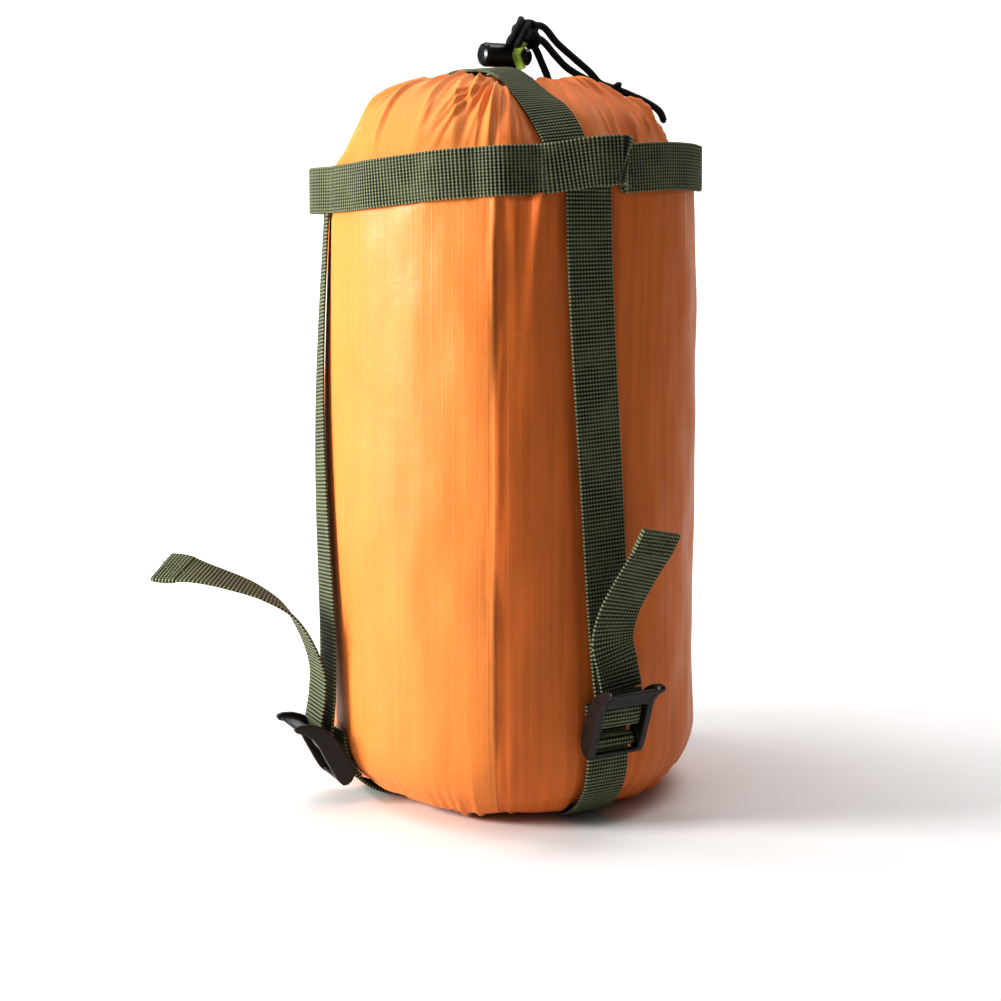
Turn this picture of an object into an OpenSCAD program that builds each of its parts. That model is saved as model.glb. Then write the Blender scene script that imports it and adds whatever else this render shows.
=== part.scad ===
// Compression sack: a stuffed nylon sack with a drawcord mouth, a webbing collar and
// four webbing straps that pull the gathered top down through ladder-lock buckles.
// Origin: centre of the face it stands on. +Z up. -Y is the front strap's side.

/* [Sack] */
// Radius of the filled sack
sack_r = 90; // [85:1:95]
// Height at which the wall ends and the gathered top begins
shoulder_z = 295; // [285:1:305]
// Height of the gathered top above the shoulder
dome_h = 56; // [50:1:60]
// Radius of the rounded bottom corner
corner_r = 30; // [26:1:32]
// Thickness of the sack's shell
shell_t = 1.4; // [1:0.1:2]

/* [Webbing] */
// Width of the webbing
web_w = 22; // [20:0.5:22]
// Thickness of the webbing
web_t = 1.2; // [1:0.1:1.3]
// Middle height of the collar band
collar_z = 299; // [297:0.5:301]
// Rise of the collar band on its higher side
collar_rise = 6.6; // [0:0.2:8]
// How far the collar band stands out over each strap
tunnel_out = 7; // [6:0.5:8]
// How far the left strap is from lying square to the front one, in degrees
cross_skew = 4; // [0:1:6]
// Direction of the right strap, in degrees from square to the front one
right_angle = 12; // [8:1:14]
// How far the side strap lies off the middle of the bottom
side_shift = 6; // [0:1:8]

/* [Buckles] */
// Radius of the anchor bar that the buckle turns on
anchor_bar_r = 1.8; // [1.6:0.1:2]
// Gap between the anchor bar and the webbing loop round it
anchor_gap = 0.1; // [0.05:0.01:0.1]
// Distance from the anchor bar to the bar that the strap turns round
mid_bar_s = 11.5; // [11:0.1:12]
// Thickness of a side plate
plate_t = 3; // [2.5:0.1:3.4]

/* [Drawcord] */
// Diameter of the drawcord
cord_d = 3.6; // [3:0.1:3.8]
// Radius of the cord lock's barrel
lock_r = 6; // [5.6:0.1:6]
// Travel of the cord lock's plunger
plunger_travel = 3; // [2:0.5:3]

/* [Hidden] */
SIDES = ["front", "left", "back", "right"];
SINGLE_NODES = [
    "sack_wall", "bottom_panel", "packed_load", "gathered_top", "mouth_hem",
    "collar_band", "over_strap_fore_aft", "over_strap_side",
    "bottom_strap_fore_aft", "bottom_strap_side",
    "drawcord_long", "drawcord_short", "drawcord_hem_strand", "cord_knot",
    "cord_lock_barrel", "cord_lock_plunger", "cord_lock_spring", "pull_tab"
];
SIDE_NODES = ["strap_run", "buckle", "strap_wrap", "tail_root", "tail"];

orange = [0.93, 0.55, 0.24];
olive = [0.31, 0.36, 0.25];
black = [0.08, 0.08, 0.09];
lime = [0.75, 0.88, 0.35];

// Bottom of the fabric, above the two webbing straps that cross under it
floor_gap = 3;
clear = 0.3;
// Sideways bow of each strap over the top, which keeps it clear of the mouth
over_bow = [-6, 11];
// Heights of the over straps' centre lines above the gathered top
over_gap = [1.9, 1.1];
dome_power = 2.25;
// Where the sack wall meets its bottom panel
panel_r = 67;
flat_r = sack_r - corner_r;
corner_z = floor_gap + corner_r;
wall_top = shoulder_z - 7;

// One entry for each side: front, left, back, right
base_angle = [-90, 180 - cross_skew, 90, right_angle];
base_shift = [-3, -side_shift, 0, side_shift];
anchor_z = [42, 16, 30, 30];
buckle_tilt = [18, 27, 20, 4];
run_stand_off = [1.5, 5, 2, 2];
// Turn of each strap between its buckle and the collar, because the top sits twisted
collar_turn = [-8, -16, 4, -26];

// How far the two arms of a bottom strap run past each other where they are sewn together
arm_overlap = 8;
arm_step = 0.15;
// Distance of the bottom straps' centre line from the corner's centre
strap_corner_r = corner_z - web_t / 2;
loop_r = anchor_bar_r + anchor_gap + web_t / 2;
half_w = web_w / 2;
plate_in = half_w + 0.5;

mid_bar_r = 1.9;
mid_bar_n = 1;
wrap_r = mid_bar_r + 0.2 + web_t / 2;
wrap_back_s = 19;
pivot_s = 26.5;
pivot_n = 0.8;

// Centre lines of the tails from their pivots: outwards, up and sideways
tail_points = [
    [[0, 0, 0], [-1.5, 11, -1.5], [-1.5, 23, -4], [2, 36, -3], [8, 50, 1], [14, 62, 5], [19, 73.5, 8]],
    [[0, 0, 0], [-2, 12, 0], [-2, 25, 0], [3, 40, -1], [11, 53, -4], [23, 62, -9],
     [37, 68, -16], [51, 72, -25], [63, 73, -37]],
    [[0, 0, 0], [-1, 13, 0], [2, 29, 2], [9, 43, 4], [19, 53, 5], [30, 59, 6], [42, 62, 6]],
    [[0, 0, 0], [-1, 14, 0], [-1.5, 32, 1], [-1, 52, 2], [0, 70, 3], [1.5, 85, 3]]
];
tail_roll = [0, -20, -8, 0];
root_part = 0.16;
tail_hem = 13;

// Where the straps cross over the top, and the mouth beside the crossing
cross_at = [-15.7, -3];
mouth_at = [6.4, 10.1];
mouth_r = 9.3;
hem_r = 9;
hem_in_r = 6;
hem_low = 343;
hem_high = 350.4;
// Top of what is packed, and the hollow in it under the mouth
load_top = 338;
load_hollow_r = 22;

// The drawcord's routes, as points in millimetres
long_route = [
    [4.7, 11.1, 343], [4.7, 11.1, 348], [4.7, 11.1, 355], [4.7, 11.1, 362], [4.8, 11, 367], [5.8, 9, 370],
    [8.5, 6, 372.5], [13, 3, 375], [20, 3, 374.5], [28, 3.6, 367.5], [37.5, 3.8, 361], [47, 4, 354.7],
    [53.6, 3.7, 349], [59.6, 2.5, 347], [67, 0.6, 344.5], [76.5, -3.8, 340], [82.5, -7.3, 335.4],
    [85, -8.9, 329.2]
];
short_route = [
    [8.7, 11.1, 343], [8.7, 11.1, 348], [8.7, 11.1, 355], [8.7, 11.1, 362], [8.7, 11, 367], [9.3, 8.6, 369.4],
    [10.8, 5, 370.6], [13, 2, 369.8], [18, 0, 367], [26, 0.8, 360.2], [33.5, 1.5, 354.8], [45, 1, 349.6],
    [52, 0, 347], [57.8, -2, 346.2], [61.6, -4, 348.6]
];
hem_strand_route = [
    [22.9, 1.7, 344.5], [22.4, 2, 348], [20.6, 2.2, 352.5], [18.3, 2.6, 357.5], [16, 3, 362.5],
    [12.9, 3.5, 367.5], [10.6, 4, 373.5]
];
tab_route = [[8.6, 2.6, 366.6], [6.4, 2.9, 364], [4.6, 3.4, 360.5], [5.6, 3.2, 357], [7.4, 2.8, 353.2]];
tab_w = 4.2;
tab_t = 0.8;
knot_at = [10.6, 4, 372.6];
knot_r = 7;

// Cord lock, lying along X: its middle, its ends and the two cords through it
lock_at = [2.7, 11.1, 360.5];
lock_left = -14;
lock_right = 9.5;
lock_wall = 1.6;
lock_bore_r = lock_r - lock_wall;
plunger_r = lock_bore_r - 0.1;
plunger_left = -2.5;
plunger_right = 13.5;
cords_x = [2, 6];
cord_hole_r = cord_d / 2 + 0.35;
spring_wire_r = 0.45;
spring_coil_r = 3.2;
spring_turns = 5;

// ---------- functions ----------
function unit(v) = v / norm(v);
function flat2(angle) = [cos(angle), sin(angle)];
function smooth(t) = t * t * (3 - 2 * t);

// Height of the gathered top at a distance from the axis, on a skin `out` further out
function dome_height(r, out = 0) =
    shoulder_z + (dome_h + out) * pow(max(0, 1 - pow(r / (sack_r + out), dome_power)), 1 / dome_power);

// Radius of the anchor bar's centre for an anchor height
function anchor_radius(z) =
    z >= corner_z ? flat_r + strap_corner_r + loop_r
    : flat_r + sqrt(pow(strap_corner_r + loop_r, 2) - pow(corner_z - z, 2));

// A point of a buckle's own side view (s along it, n outwards), as [radius, height]
function buckle_rz(k, s, n) = [
    anchor_radius(anchor_z[k]) + s * sin(buckle_tilt[k]) + n * cos(buckle_tilt[k]),
    anchor_z[k] + s * cos(buckle_tilt[k]) - n * sin(buckle_tilt[k])
];

// A point at a radius, height and sideways offset on one side of the sack
function side_point(angle, r, z, across = 0) = [
    r * cos(angle) - across * sin(angle),
    r * sin(angle) + across * cos(angle),
    z
];

// Smooth curve through hand-set points
function curve_piece(a, b, c, d, t) =
    0.5 * (2 * b + (c - a) * t + (2 * a - 5 * b + 4 * c - d) * t * t
        + (3 * b - a - 3 * c + d) * t * t * t);
function curve_at(points, u) =
    let (
        last = len(points) - 1,
        x = min(u * last, last - 0.0001),
        i = floor(x),
        before = i > 0 ? points[i - 1] : 2 * points[0] - points[1],
        after = i + 2 <= last ? points[i + 2] : 2 * points[last] - points[last - 1]
    )
    curve_piece(before, points[i], points[i + 1], after, x - i);

// Direction of a list of points at one of them
function heading(points, i) = unit(points[min(i + 1, len(points) - 1)] - points[max(i - 1, 0)]);

// Rectangular section of webbing: centre, direction, sideways vector, thickness, half width
function web_section(centre, along, across, thick, half = half_w) =
    let (
        normal = unit(cross(along, across)),
        side = cross(normal, along) * half,
        up = normal * thick / 2
    )
    [centre + side + up, centre - side + up, centre - side - up, centre + side - up];

// Round section of cord, with its start turned to a fixed direction
function cord_section(centre, along, radius, sides) =
    let (
        side = unit(cross(along, [0.93, 0.33, 0.13])),
        up = cross(along, side)
    )
    [for (j = [0:sides - 1]) centre + radius * (cos(360 * j / sides) * side + sin(360 * j / sides) * up)];

// Both edges of a flat band that follows a 2D centre line
function band_outline(line, thick) =
    let (
        last = len(line) - 1,
        side = [for (i = [0:last])
            let (d = unit(line[min(i + 1, last)] - line[max(i - 1, 0)])) [-d[1], d[0]] * thick / 2]
    )
    concat([for (i = [0:last]) line[i] + side[i]], [for (i = [last:-1:0]) line[i] - side[i]]);

// ---------- shared shapes ----------
// Solid through a row of sections that run anticlockwise about the direction of travel
module skin(sections, closed = false) {
    n = len(sections[0]);
    m = len(sections);
    rows = closed ? m : m - 1;
    walls = [for (i = [0:rows - 1]) for (j = [0:n - 1])
        let (
            a = i * n + j,
            b = i * n + (j + 1) % n,
            c = ((i + 1) % m) * n + (j + 1) % n,
            d = ((i + 1) % m) * n + j
        )
        each [[a, d, c], [a, c, b]]];
    caps = closed ? [] : [
        [for (j = [0:n - 1]) j],
        [for (j = [n - 1:-1:0]) (m - 1) * n + j]
    ];
    polyhedron(points = [for (s = sections) each s], faces = concat(walls, caps), convexity = 8);
}

module cord(route, steps) {
    points = [for (i = [0:steps]) curve_at(route, i / steps)];
    skin([for (i = [0:steps]) cord_section(points[i], heading(points, i), cord_d / 2, 8)]);
}

// Places a buckle's own side view at side k of the sack: x is s, y is n, z is across
module at_buckle(k) {
    rotate([0, 0, base_angle[k]])
        translate([anchor_radius(anchor_z[k]), base_shift[k], anchor_z[k]])
            rotate([0, buckle_tilt[k], 0]) rotate([-90, 0, 0]) rotate([0, 0, -90])
                children();
}

// ---------- the sack ----------
// Outline of the sack's skin set in by some distance, from the axis or from the panel's edge
function sack_outline(inset, from_r, to_z) =
    let (
        start = from_r < flat_r ? 0 : asin((from_r - flat_r) / (corner_r - inset)),
        arc = [for (a = [start:(90 - start) / 12:90.01])
            [flat_r + (corner_r - inset) * sin(a), corner_z - (corner_r - inset) * cos(a)]]
    )
    concat(from_r < flat_r ? [[0, floor_gap + inset]] : [], arc, [[sack_r - inset, to_z]]);

// Outline of the gathered top, from the shoulder inwards
function dome_outline(inset, low_z, to_r) =
    concat(
        [[sack_r - inset, low_z]],
        [for (i = [0:18])
            let (r = (sack_r - inset) * cos(90 * i / 18)) if (r > to_r) [r, dome_height(r, -inset)]],
        [[to_r, dome_height(to_r, -inset)]]
    );

module revolve() {
    rotate_extrude($fn = 96) children();
}

module sack_wall() {
    outer = sack_outline(0, panel_r, wall_top);
    inner = sack_outline(shell_t, panel_r, wall_top);
    color(orange) revolve()
        polygon(concat(outer, [for (i = [len(inner) - 1:-1:0]) inner[i]]));
}

module bottom_panel() {
    edge = panel_r - clear;
    rim_a = asin((edge - flat_r) / corner_r);
    arc = [for (i = [0:3]) rim_a * i / 3];
    outer = [for (a = arc) [flat_r + corner_r * sin(a), corner_z - corner_r * cos(a)]];
    inner = [for (a = arc)
        [flat_r + (corner_r - shell_t) * sin(a), corner_z - (corner_r - shell_t) * cos(a)]];
    color(orange) revolve()
        polygon(concat([[0, floor_gap]], outer, [for (i = [3:-1:0]) inner[i]], [[0, floor_gap + shell_t]]));
}

module packed_load() {
    inset = shell_t + 0.5;
    top = dome_outline(inset, shoulder_z, 12);
    color("gray") difference() {
        revolve() polygon(concat(sack_outline(inset, 0, shoulder_z - 1), top, [[12, load_top], [0, load_top]]));
        translate([mouth_at[0], mouth_at[1], hem_low - 1.5]) cylinder(r = load_hollow_r, h = 30, $fn = 48);
    }
}

module gathered_top() {
    outer = dome_outline(0, wall_top + clear, 0.5);
    inner = dome_outline(shell_t, wall_top + clear, 0.5);
    color(orange) difference() {
        revolve() polygon(concat(outer, [[0, outer[len(outer) - 1][1]], [0, inner[len(inner) - 1][1]]],
            [for (i = [len(inner) - 1:-1:0]) inner[i]]));
        translate([mouth_at[0], mouth_at[1], hem_low - 10]) cylinder(r = mouth_r, h = 30, $fn = 48);
    }
}

// Gathered drawcord hem round the mouth
module mouth_hem() {
    bead = (hem_r - hem_in_r) / 2;
    middle = (hem_r + hem_in_r) / 2;
    color(orange) translate([mouth_at[0], mouth_at[1], 0]) revolve() {
        translate([middle, hem_high - bead]) circle(r = bead, $fn = 24);
        translate([middle, hem_low + bead]) circle(r = bead, $fn = 24);
        translate([hem_in_r, hem_low + bead]) square([2 * bead, hem_high - hem_low - 2 * bead]);
    }
}

// ---------- the collar and the straps over the top ----------
function collar_angle(k) = base_angle[k] + collar_turn[k];
function collar_height(angle) = collar_z + collar_rise * cos(angle + 30);
function angle_between(a, b) = abs((a - b + 540) % 360 - 180);
function tunnel_bump(angle) =
    max([for (k = [0:3]) let (off = angle_between(angle + 720, collar_angle(k) + 720))
        off < 12.5 ? pow(cos(90 * off / 12.5), 2) : 0]);

module collar_band() {
    steps = 144;
    color(olive) skin([for (i = [0:steps - 1])
        let (
            angle = 360 * i / steps,
            mid = sack_r + clear + web_t / 2 + tunnel_out * tunnel_bump(angle),
            z = collar_height(angle),
            low = z - half_w,
            high = z + half_w
        )
        [side_point(angle, mid + web_t / 2, low), side_point(angle, mid + web_t / 2, high),
         side_point(angle, mid - web_t / 2, high), side_point(angle, mid - web_t / 2, low)]
        ], closed = true);
}

// Point of a strap over the top, on the straight line in plan from side k (u = -1) to the
// opposite side (u = 1)
function over_point(k, u, rise) =
    let (
        from = flat2(collar_angle(k)) * (sack_r + 1),
        to = flat2(collar_angle((k + 2) % 4)) * (sack_r + 1),
        bow = [to[1] - from[1], from[0] - to[0]] / norm(from - to) * over_bow[k] * (1 - u * u),
        plan = (from + to) / 2 + (to - from) / 2 * sin(90 * u) + bow,
        r = min(norm(plan), sack_r + 0.9),
        lift = rise * exp(-pow(norm(plan - cross_at) / 26, 4))
    )
    [plan[0], plan[1], dome_height(r, over_gap[k] + lift)];

// Sideways direction of that strap: square to its line, but along the collar at its ends
function over_across(k, u) =
    let (
        near_a = collar_angle(k),
        far_a = collar_angle((k + 2) % 4),
        span = unit(flat2(near_a) - flat2(far_a)),
        end_a = u < 0 ? near_a : far_a + 180,
        share = pow(abs(u), 3)
    )
    [-span[1], span[0], 0] * (1 - share) + [-sin(end_a), cos(end_a), 0] * share;

// Points of that strap with their sideways directions
function over_strap_points(k, rise) =
    let (
        steps = 40,
        far = (k + 2) % 4,
        near_a = collar_angle(k),
        far_a = collar_angle(far)
    )
    concat(
        [for (z = [collar_height(near_a) - half_w - 0.6, shoulder_z - 6])
            [side_point(near_a, sack_r + 1.1, z), over_across(k, -1)]],
        [for (i = [0:steps])
            let (u = -1 + 2 * i / steps)
            [over_point(k, u, rise), over_across(k, u)]],
        [for (z = [shoulder_z - 6, collar_height(far_a) - half_w - 0.6])
            [side_point(far_a, sack_r + 1.1, z), over_across(k, 1)]]
    );

module over_strap(k, rise) {
    rows = over_strap_points(k, rise);
    points = [for (row = rows) row[0]];
    color(olive) skin([for (i = [0:len(points) - 1])
        web_section(points[i], heading(points, i), rows[i][1], web_t)]);
}

module over_strap_fore_aft() {
    over_strap(0, 1.7);
}

module over_strap_side() {
    over_strap(1, 0);
}

// ---------- the straps under the bottom ----------
// Half of a bottom strap in its own plane: from the middle to the anchor at side k
function bottom_half(k, hump) =
    let (
        upright = anchor_z[k] > corner_z,
        end_a = upright ? 90 : acos((corner_z - anchor_z[k]) / (strap_corner_r + loop_r)) - 1.6
    )
    concat(
        [[0, web_t / 2 + hump], [13.5, web_t / 2 + hump], [20, web_t / 2], [flat_r - 2, web_t / 2]],
        [for (i = [0:10]) let (a = end_a * i / 10)
            [flat_r + strap_corner_r * sin(a), corner_z - strap_corner_r * cos(a)]],
        upright ? [[flat_r + strap_corner_r, anchor_z[k] - 0.9]] : []
    );

// Half of a bottom strap with its loop round the anchor bar
module bottom_arm(k, hump) {
    bar_at = [anchor_radius(anchor_z[k]), anchor_z[k]];
    rotate([0, 0, base_angle[k]]) translate([0, base_shift[k], 0]) rotate([90, 0, 0])
        linear_extrude(web_w, center = true) difference() {
            union() {
                polygon(band_outline(concat([[-arm_overlap, web_t / 2 + hump]], bottom_half(k, hump)), web_t));
                translate(bar_at) circle(r = loop_r + web_t / 2 + 0.1, $fn = 32);
            }
            translate(bar_at) circle(r = anchor_bar_r + anchor_gap, $fn = 32);
        }
}

module bottom_strap(k, hump) {
    color(olive) {
        bottom_arm(k, hump);
        bottom_arm((k + 2) % 4, hump + arm_step);
    }
}

module bottom_strap_fore_aft() {
    bottom_strap(0, 0);
}

module bottom_strap_side() {
    bottom_strap(1, web_t + clear);
}

// ---------- one side: run, buckle, wrap and tail ----------
// Centre line of the strap from the collar down to the back of the buckle
function run_points(k) =
    let (
        steps = 26,
        foot = buckle_rz(k, wrap_back_s + 0.4, -wrap_r + mid_bar_n),
        top_z = collar_height(collar_angle(k)) - half_w - 1.4,
        wall_r = sack_r + 1.1
    )
    [for (i = [0:steps])
        let (
            t = i / steps,
            angle = base_angle[k] + collar_turn[k] * smooth(t),
            r = wall_r + run_stand_off[k] * sin(180 * t) + (foot[0] - wall_r) * pow(1 - t, 8)
        )
        side_point(angle, r, foot[1] + (top_z - foot[1]) * t, base_shift[k] * (1 - smooth(t)))];

module strap_run(k) {
    points = run_points(k);
    last = len(points) - 1;
    color(olive) skin([for (i = [0:last])
        let (angle = base_angle[k] + collar_turn[k] * smooth(i / last))
        web_section(points[i], heading(points, i), [-sin(angle), cos(angle), 0], web_t)]);
}

// Side view of a ladder-lock's side plate: a deep lower part and an ear that curls outwards
plate_outline = [
    [-2.8, -2.2], [-5, 0.6], [-5.6, 3.4], [-4.6, 5.6], [-1.5, 6.6], [4, 7], [12, 7.2], [19, 7.2],
    [23.5, 8], [27.5, 10.2], [31, 13.4], [32.6, 13.8], [33.6, 12.6], [33, 9.6], [30.5, 5.6],
    [27.6, 2.6], [24, 0], [18, -2], [10, -3], [3, -3.2]
];
lip_outline = [
    [20.8, 4.4], [20.8, 6.6], [24.2, 7.4], [28, 9.6], [30.6, 12.4], [31.6, 12.2],
    [31.8, 11.2], [29.6, 7.8], [26.4, 5], [23, 3.8]
];

module buckle(k) {
    color(black) at_buckle(k) {
        for (end = [-1, 1])
            translate([0, 0, end * (plate_in + plate_t / 2)])
                linear_extrude(plate_t, center = true) polygon(plate_outline);
        cylinder(r = anchor_bar_r, h = 2 * plate_in + 0.4, center = true, $fn = 32);
        translate([mid_bar_s, mid_bar_n, 0])
            cylinder(r = mid_bar_r, h = 2 * plate_in + 0.4, center = true, $fn = 32);
        translate([-4, 4.2, 0])
            cylinder(r = 1.2, h = 2 * plate_in + 0.4, center = true, $fn = 32);
        linear_extrude(2 * plate_in + 0.4, center = true) polygon(lip_outline);
    }
}

// Centre line of the webbing round the buckle's middle bar, in the buckle's side view
wrap_line = concat(
    [[wrap_back_s, mid_bar_n - wrap_r]],
    [for (i = [0:12]) let (a = -90 - 180 * i / 12)
        [mid_bar_s + wrap_r * cos(a), mid_bar_n + wrap_r * sin(a)]],
    [[14, 3.7], [16.5, 3.3], [18.5, 2.4], [20.8, 1.4], [23, 0.9], [pivot_s - 1.2, pivot_n]]
);

module strap_wrap(k) {
    color(olive) at_buckle(k)
        linear_extrude(web_w, center = true) polygon(band_outline(wrap_line, web_t));
}

function tail_at(k, u) =
    let (
        pivot = buckle_rz(k, pivot_s, pivot_n),
        p = curve_at(tail_points[k], u)
    )
    side_point(base_angle[k], pivot[0] + p[0], pivot[1] + p[1], base_shift[k] + p[2]);

// Webbing along a tail between two parts of its length, thicker at the sewn hem
module tail_piece(k, from_u, to_u, steps, hem) {
    points = [for (i = [0:steps]) tail_at(k, from_u + (to_u - from_u) * i / steps)];
    angle = base_angle[k];
    color(olive) skin([for (i = [0:steps])
        let (
            u = from_u + (to_u - from_u) * i / steps,
            roll = tail_roll[k] * u,
            across = [-sin(angle) * cos(roll), cos(angle) * cos(roll), sin(roll)],
            folded = hem && norm(points[steps] - points[i]) < tail_hem
        )
        web_section(points[i], heading(points, i), across, folded ? 2 * web_t : web_t)]);
}

module tail_root(k) {
    tail_piece(k, 0.012, root_part, 5, false);
}

module tail(k) {
    tail_piece(k, root_part + 0.009, 1, 26, true);
}

// ---------- the drawcord, its knot and its lock ----------
module drawcord_long() {
    color(black) cord(long_route, 34);
}

module drawcord_short() {
    color(black) cord(short_route, 24);
}

module drawcord_hem_strand() {
    color(black) cord(hem_strand_route, 8);
}

module cord_knot() {
    color(black) translate(knot_at) sphere(r = knot_r, $fn = 32);
}

// Places the cord lock's own axis: x along the barrel
module at_lock() {
    translate(lock_at) rotate([0, 90, 0]) children();
}

// Upright slot for the cords, as far as `stretch` beyond the last of them
module cord_slot(stretch) {
    from_x = lock_at[0] + cords_x[0];
    to_x = lock_at[0] + cords_x[1] + stretch;
    for (x = [from_x, to_x])
        translate([x, lock_at[1], lock_at[2]]) cylinder(r = cord_hole_r, h = 30, center = true, $fn = 32);
    translate([(from_x + to_x) / 2, lock_at[1], lock_at[2]])
        cube([to_x - from_x, 2 * cord_hole_r, 30], center = true);
}

module cord_lock_barrel() {
    color(black) difference() {
        at_lock() rotate_extrude($fn = 64)
            polygon([
                [0, lock_left], [lock_r - 2.5, lock_left], [lock_r - 0.8, lock_left + 0.8],
                [lock_r, lock_left + 2.5], [lock_r, lock_right - 1], [lock_r - 1, lock_right],
                [lock_bore_r, lock_right], [lock_bore_r, lock_left + 2], [0, lock_left + 2]
            ]);
        cord_slot(0);
    }
}

module cord_lock_plunger() {
    color(black) difference() {
        at_lock() rotate_extrude($fn = 64)
            polygon([
                [0, plunger_left], [plunger_r, plunger_left], [plunger_r, plunger_right - 1],
                [plunger_r - 1, plunger_right], [0, plunger_right]
            ]);
        cord_slot(plunger_travel);
    }
}

module cord_lock_spring() {
    from_x = lock_left + 2 + spring_wire_r + 0.1;
    to_x = plunger_left - spring_wire_r - 0.1;
    steps = spring_turns * 12;
    points = [for (i = [0:steps])
        let (a = 360 * spring_turns * i / steps)
        lock_at + [from_x + (to_x - from_x) * i / steps, spring_coil_r * cos(a), spring_coil_r * sin(a)]];
    color("silver") skin([for (i = [0:steps]) cord_section(points[i], heading(points, i), spring_wire_r, 6)]);
}

module pull_tab() {
    steps = 12;
    points = [for (i = [0:steps]) curve_at(tab_route, i / steps)];
    color(lime) skin([for (i = [0:steps])
        web_section(points[i], heading(points, i), [0.87, -0.5, 0.2], tab_t, tab_w / 2)]);
}

sack_wall();
bottom_panel();
packed_load();
gathered_top();
mouth_hem();
collar_band();
over_strap_fore_aft();
over_strap_side();
bottom_strap_fore_aft();
bottom_strap_side();
drawcord_long();
drawcord_short();
drawcord_hem_strand();
cord_knot();
cord_lock_barrel();
cord_lock_plunger();
cord_lock_spring();
pull_tab();
for (k = [0:3]) {
    strap_run(k);
    buckle(k);
    strap_wrap(k);
    tail_root(k);
    tail(k);
}
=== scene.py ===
"""Looks of the compression sack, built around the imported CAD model. Lengths are in metres."""

import math

import bmesh
import bpy
import numpy as np
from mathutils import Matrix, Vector


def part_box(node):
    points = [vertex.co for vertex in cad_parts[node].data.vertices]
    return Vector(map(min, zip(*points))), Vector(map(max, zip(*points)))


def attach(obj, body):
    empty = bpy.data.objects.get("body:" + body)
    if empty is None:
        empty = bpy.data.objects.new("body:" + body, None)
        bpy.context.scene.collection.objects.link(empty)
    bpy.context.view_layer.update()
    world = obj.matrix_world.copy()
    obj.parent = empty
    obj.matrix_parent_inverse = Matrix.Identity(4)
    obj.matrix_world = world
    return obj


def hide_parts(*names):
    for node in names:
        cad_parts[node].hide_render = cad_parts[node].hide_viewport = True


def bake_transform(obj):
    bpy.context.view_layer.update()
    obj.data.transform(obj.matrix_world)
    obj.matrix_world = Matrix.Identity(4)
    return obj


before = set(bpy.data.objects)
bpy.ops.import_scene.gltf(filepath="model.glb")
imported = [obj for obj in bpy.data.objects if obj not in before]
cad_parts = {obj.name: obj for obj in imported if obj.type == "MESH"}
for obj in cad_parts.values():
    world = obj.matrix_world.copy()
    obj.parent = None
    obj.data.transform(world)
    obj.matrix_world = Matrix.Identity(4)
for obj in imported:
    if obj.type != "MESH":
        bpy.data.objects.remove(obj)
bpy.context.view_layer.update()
MM = 0.001

# ---------- the design's driving dimensions ----------
SACK_R = float(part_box("sack_wall")[1][0])
SHOULDER_Z = 0.295
DOME_H = 0.056
DOME_POWER = 2.25
CORNER_R = 0.030
FLOOR_GAP = 0.003
FLAT_R = SACK_R - CORNER_R
CORNER_Z = FLOOR_GAP + CORNER_R
PANEL_R = 0.067
WEB_W = 0.022
WEB_T = 0.0012
COLLAR_Z = 0.299
COLLAR_RISE = 0.0066
CORD_D = 0.0036
MOUTH_AT = np.array([0.0064, 0.0101])
MOUTH_R = 0.0078
CROSS_AT = np.array([-0.0157, -0.0030])
OVER_BOW = [-0.006, 0.012]
OVER_TURN = [-2, -5]
PUCKER_AT = np.array([-0.0275, -0.0365])
SIDES = ["front", "left", "back", "right"]
BASE_ANGLE = [-90, 176, 90, 12]
BASE_SHIFT = [-0.003, -0.006, 0, 0.006]
ANCHOR_Z = [0.042, 0.016, 0.030, 0.030]
BUCKLE_TILT = [18, 27, 20, 4]
RUN_STAND_OFF = [0.0015, 0.005, 0.002, 0.002]
COLLAR_TURN = [-8, -16, 4, -26]
COLLAR_ANGLE = [b + t for b, t in zip(BASE_ANGLE, COLLAR_TURN)]
STRAP_CORNER_R = CORNER_Z - WEB_T / 2
LOOP_R = 0.0025
MID_BAR = (0.0115, 0.001)
WRAP_R = 0.0019 + 0.0002 + WEB_T / 2
PIVOT = (0.0265, 0.0008)
SEAM_ANGLE = -124.2
VIEW_AZIMUTH = -30
# where the camera stands and what it aims at, and its lens
VIEW_AWAY = 0.85
VIEW_Z = 0.262
AIM_Z = 0.198
LENS_MM = 61.7
FRAME_SHIFT = (-0.0115, -0.1164)

TAIL_POINTS = [
    [(0, 0, 0), (-1.5, 11, -1.5), (-1.5, 23, -4), (2, 36, -3), (8, 50, 1), (14, 62, 5), (19, 73.5, 8)],
    [(0, 0, 0), (-2, 12, 0), (-2, 25, 0), (3, 40, -1), (11, 53, -4), (23, 62, -9), (37, 68, -16),
     (51, 72, -25), (63, 73, -37)],
    [(0, 0, 0), (-1, 13, 0), (2, 29, 2), (9, 43, 4), (19, 53, 5), (30, 59, 6), (42, 62, 6)],
    [(0, 0, 0), (-1, 14, 0), (-1.5, 32, 1), (-1, 52, 2), (0, 70, 3), (1.5, 85, 3)],
]
TAIL_ROLL = [0, -20, -8, 0]
TAIL_HEM = 0.013
RIB = 0.0018
THREAD_D = 0.00055
STRANDS = 8.0
BRAID_PITCH = 0.0042
# a pleat's valley lies this many of its widths from its crest
DIP_AWAY = 1.7
# hollows in the collar's sewn stretches: angle, depth, width in degrees
COLLAR_DIPS = [
    (-130, 0.0017, 3.2), (-113.5, 0.0016, 2.6), (-148, 0.0009, 4.5), (-122, -0.0009, 3.0), (-66, 0.0012, 5),
]

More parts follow.
